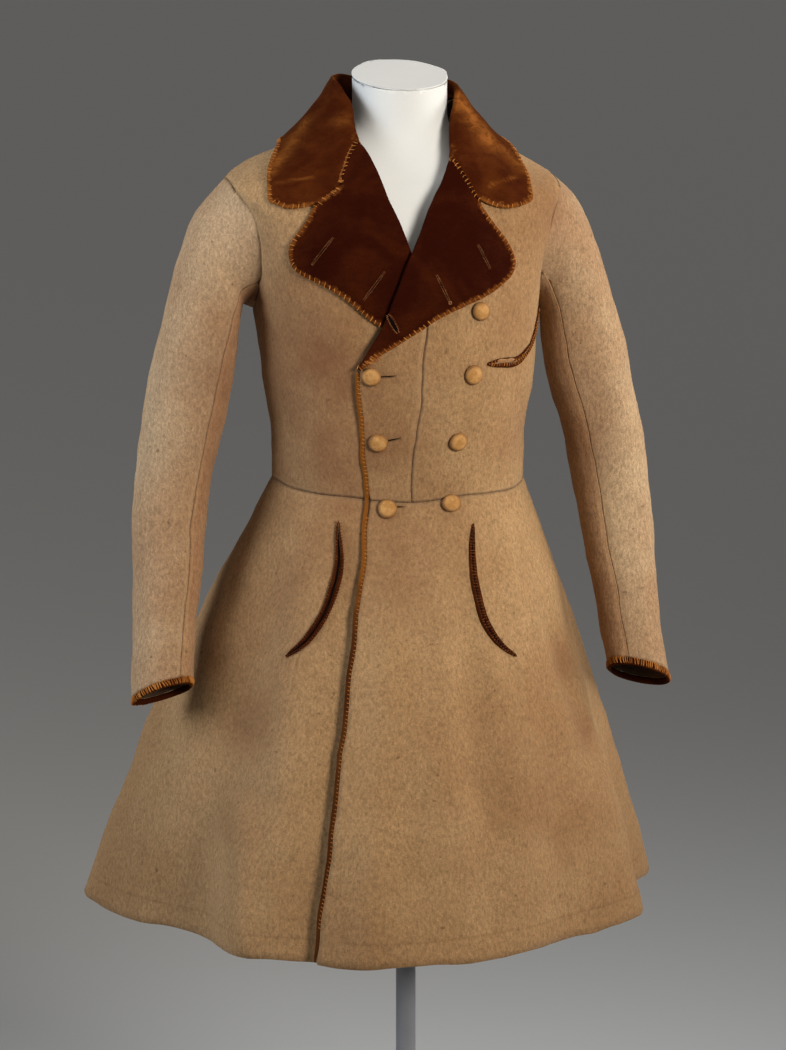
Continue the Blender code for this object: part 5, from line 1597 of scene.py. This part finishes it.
# Each cut: its width and length in metres, its area in square metres, and how it is held.
CUTS = {
    "forepart_left": (0.26, 0.50, 0.101, "draped"),
    "forepart_right": (0.30, 0.50, 0.116, "draped"),
    "lapel_strip_left": (0.085, 0.34, 0.016, "draped"),
    "side_body": (0.16, 0.26, 0.025, "draped"),
    "back": (0.23, 0.46, 0.057, "draped"),
    "skirt": (0.80, 0.62, 0.341, "hung"),
    "back_skirt": (0.36, 0.57, 0.140, "hung"),
    "top_sleeve": (0.26, 0.65, 0.106, "hung"),
    "under_sleeve": (0.16, 0.55, 0.049, "hung"),
    "collar": (0.62, 0.15, 0.065, "folded"),
    "lapel_left": (0.15, 0.30, 0.0191, "folded"),
    "lapel_right": (0.16, 0.31, 0.0236, "folded"),
}
for kind in MIRRORED:
    for word in ("left", "right"):
        CUTS[f"{kind}_{word}"] = CUTS[kind]
    del CUTS[kind]
print("sheets:", len(CUTS), "of", round(sum(area for _, _, area, _ in CUTS.values()), 3), "square metres in all")

# %% [markdown]
# ## Floor, light and camera
# A pale floor runs back to the horizon. A soft warm light comes from the front right, above the coat. A
# cool one on the left, nearly as strong, draws the sleeve there, a weaker one does so on the right, and
# a faint one from above opens the shadows on the shoulders.

# %% Floor and sky
FLOOR_HALF = 60.0
floor_mesh = bpy.data.meshes.new("floor")
bm = bmesh.new()
bmesh.ops.create_grid(bm, x_segments=1, y_segments=1, size=FLOOR_HALF)
bm.to_mesh(floor_mesh)
bm.free()
floor = bpy.data.objects.new("floor", floor_mesh)
bpy.context.scene.collection.objects.link(floor)
floor_paint, tree, shader = new_material("pale_floor")
shader.inputs["Base Color"].default_value = (0.72, 0.72, 0.71, 1.0)
set_shader(shader, 0.9)
floor.data.materials.append(floor_paint)

world = bpy.data.worlds.new("studio")
world.use_nodes = True
sky = world.node_tree.nodes["Background"]
sky.inputs["Color"].default_value = (1.0, 0.98, 0.95, 1.0)
sky.inputs["Strength"].default_value = 0.15
bpy.context.scene.world = world
print("floor:", 2 * FLOOR_HALF, "m across")


# %% Lights
def soft_light(name, place, size, power, colour, beam):
    """A square area light at a place, looking at the shoulders, with a grid that narrows its beam."""
    lamp = bpy.data.lights.new(name, "AREA")
    lamp.size, lamp.energy, lamp.color, lamp.spread = size, power, colour, math.radians(beam)
    obj = bpy.data.objects.new(name, lamp)
    obj.location = place
    obj.rotation_euler = (Vector(SHOULDERS) - Vector(place)).to_track_quat("-Z", "Y").to_euler()
    bpy.context.scene.collection.objects.link(obj)
    print(name, power, "W,", size, "m wide")


SHOULDERS = (0.0, 0.0, 1.32)
LIGHTS = (  # name, place, width in metres, watts, colour, beam in degrees
    ("key_right", (1.45, -2.85, 2.10), 1.2, 15.5, (1.0, 0.965, 0.91), 60),
    ("side_left", (-2.5, -0.10, 1.9), 1.7, 14.5, (0.79, 0.88, 1.0), 70),
    ("side_right", (2.4, 0.20, 1.6), 1.3, 7.4, (1.0, 0.99, 0.97), 70),
    ("above", (0.0, -0.2, 3.6), 1.6, 3.6, (1.0, 0.98, 0.95), 90),
)
for light in LIGHTS:
    soft_light(*light)

# %% Camera
VIEW_TURN = math.radians(-11.0)
VIEW_RISE = math.radians(10.0)
VIEW_DISTANCE = 5.0
VIEW_SIDESTEP = -0.0156
VIEW_AIM = Vector((0.0, 0.0, 1.0))
LENS, SENSOR = 142.9, 36.0  # millimetres
lens = bpy.data.cameras.new("camera")
lens.lens, lens.sensor_width, lens.sensor_height = LENS, SENSOR, SENSOR
camera = bpy.data.objects.new("camera", lens)
level = math.cos(VIEW_RISE)
back = Vector((math.sin(VIEW_TURN) * level, -math.cos(VIEW_TURN) * level, math.sin(VIEW_RISE)))
across = Vector((math.cos(VIEW_TURN), math.sin(VIEW_TURN), 0.0))
camera.location = VIEW_AIM + across * VIEW_SIDESTEP + back * VIEW_DISTANCE
camera.rotation_euler = back.to_track_quat("Z", "Y").to_euler()
bpy.context.scene.collection.objects.link(camera)
bpy.context.scene.camera = camera
bpy.context.scene.view_settings.view_transform = "Standard"
print("camera at", [round(value, 3) for value in camera.location])
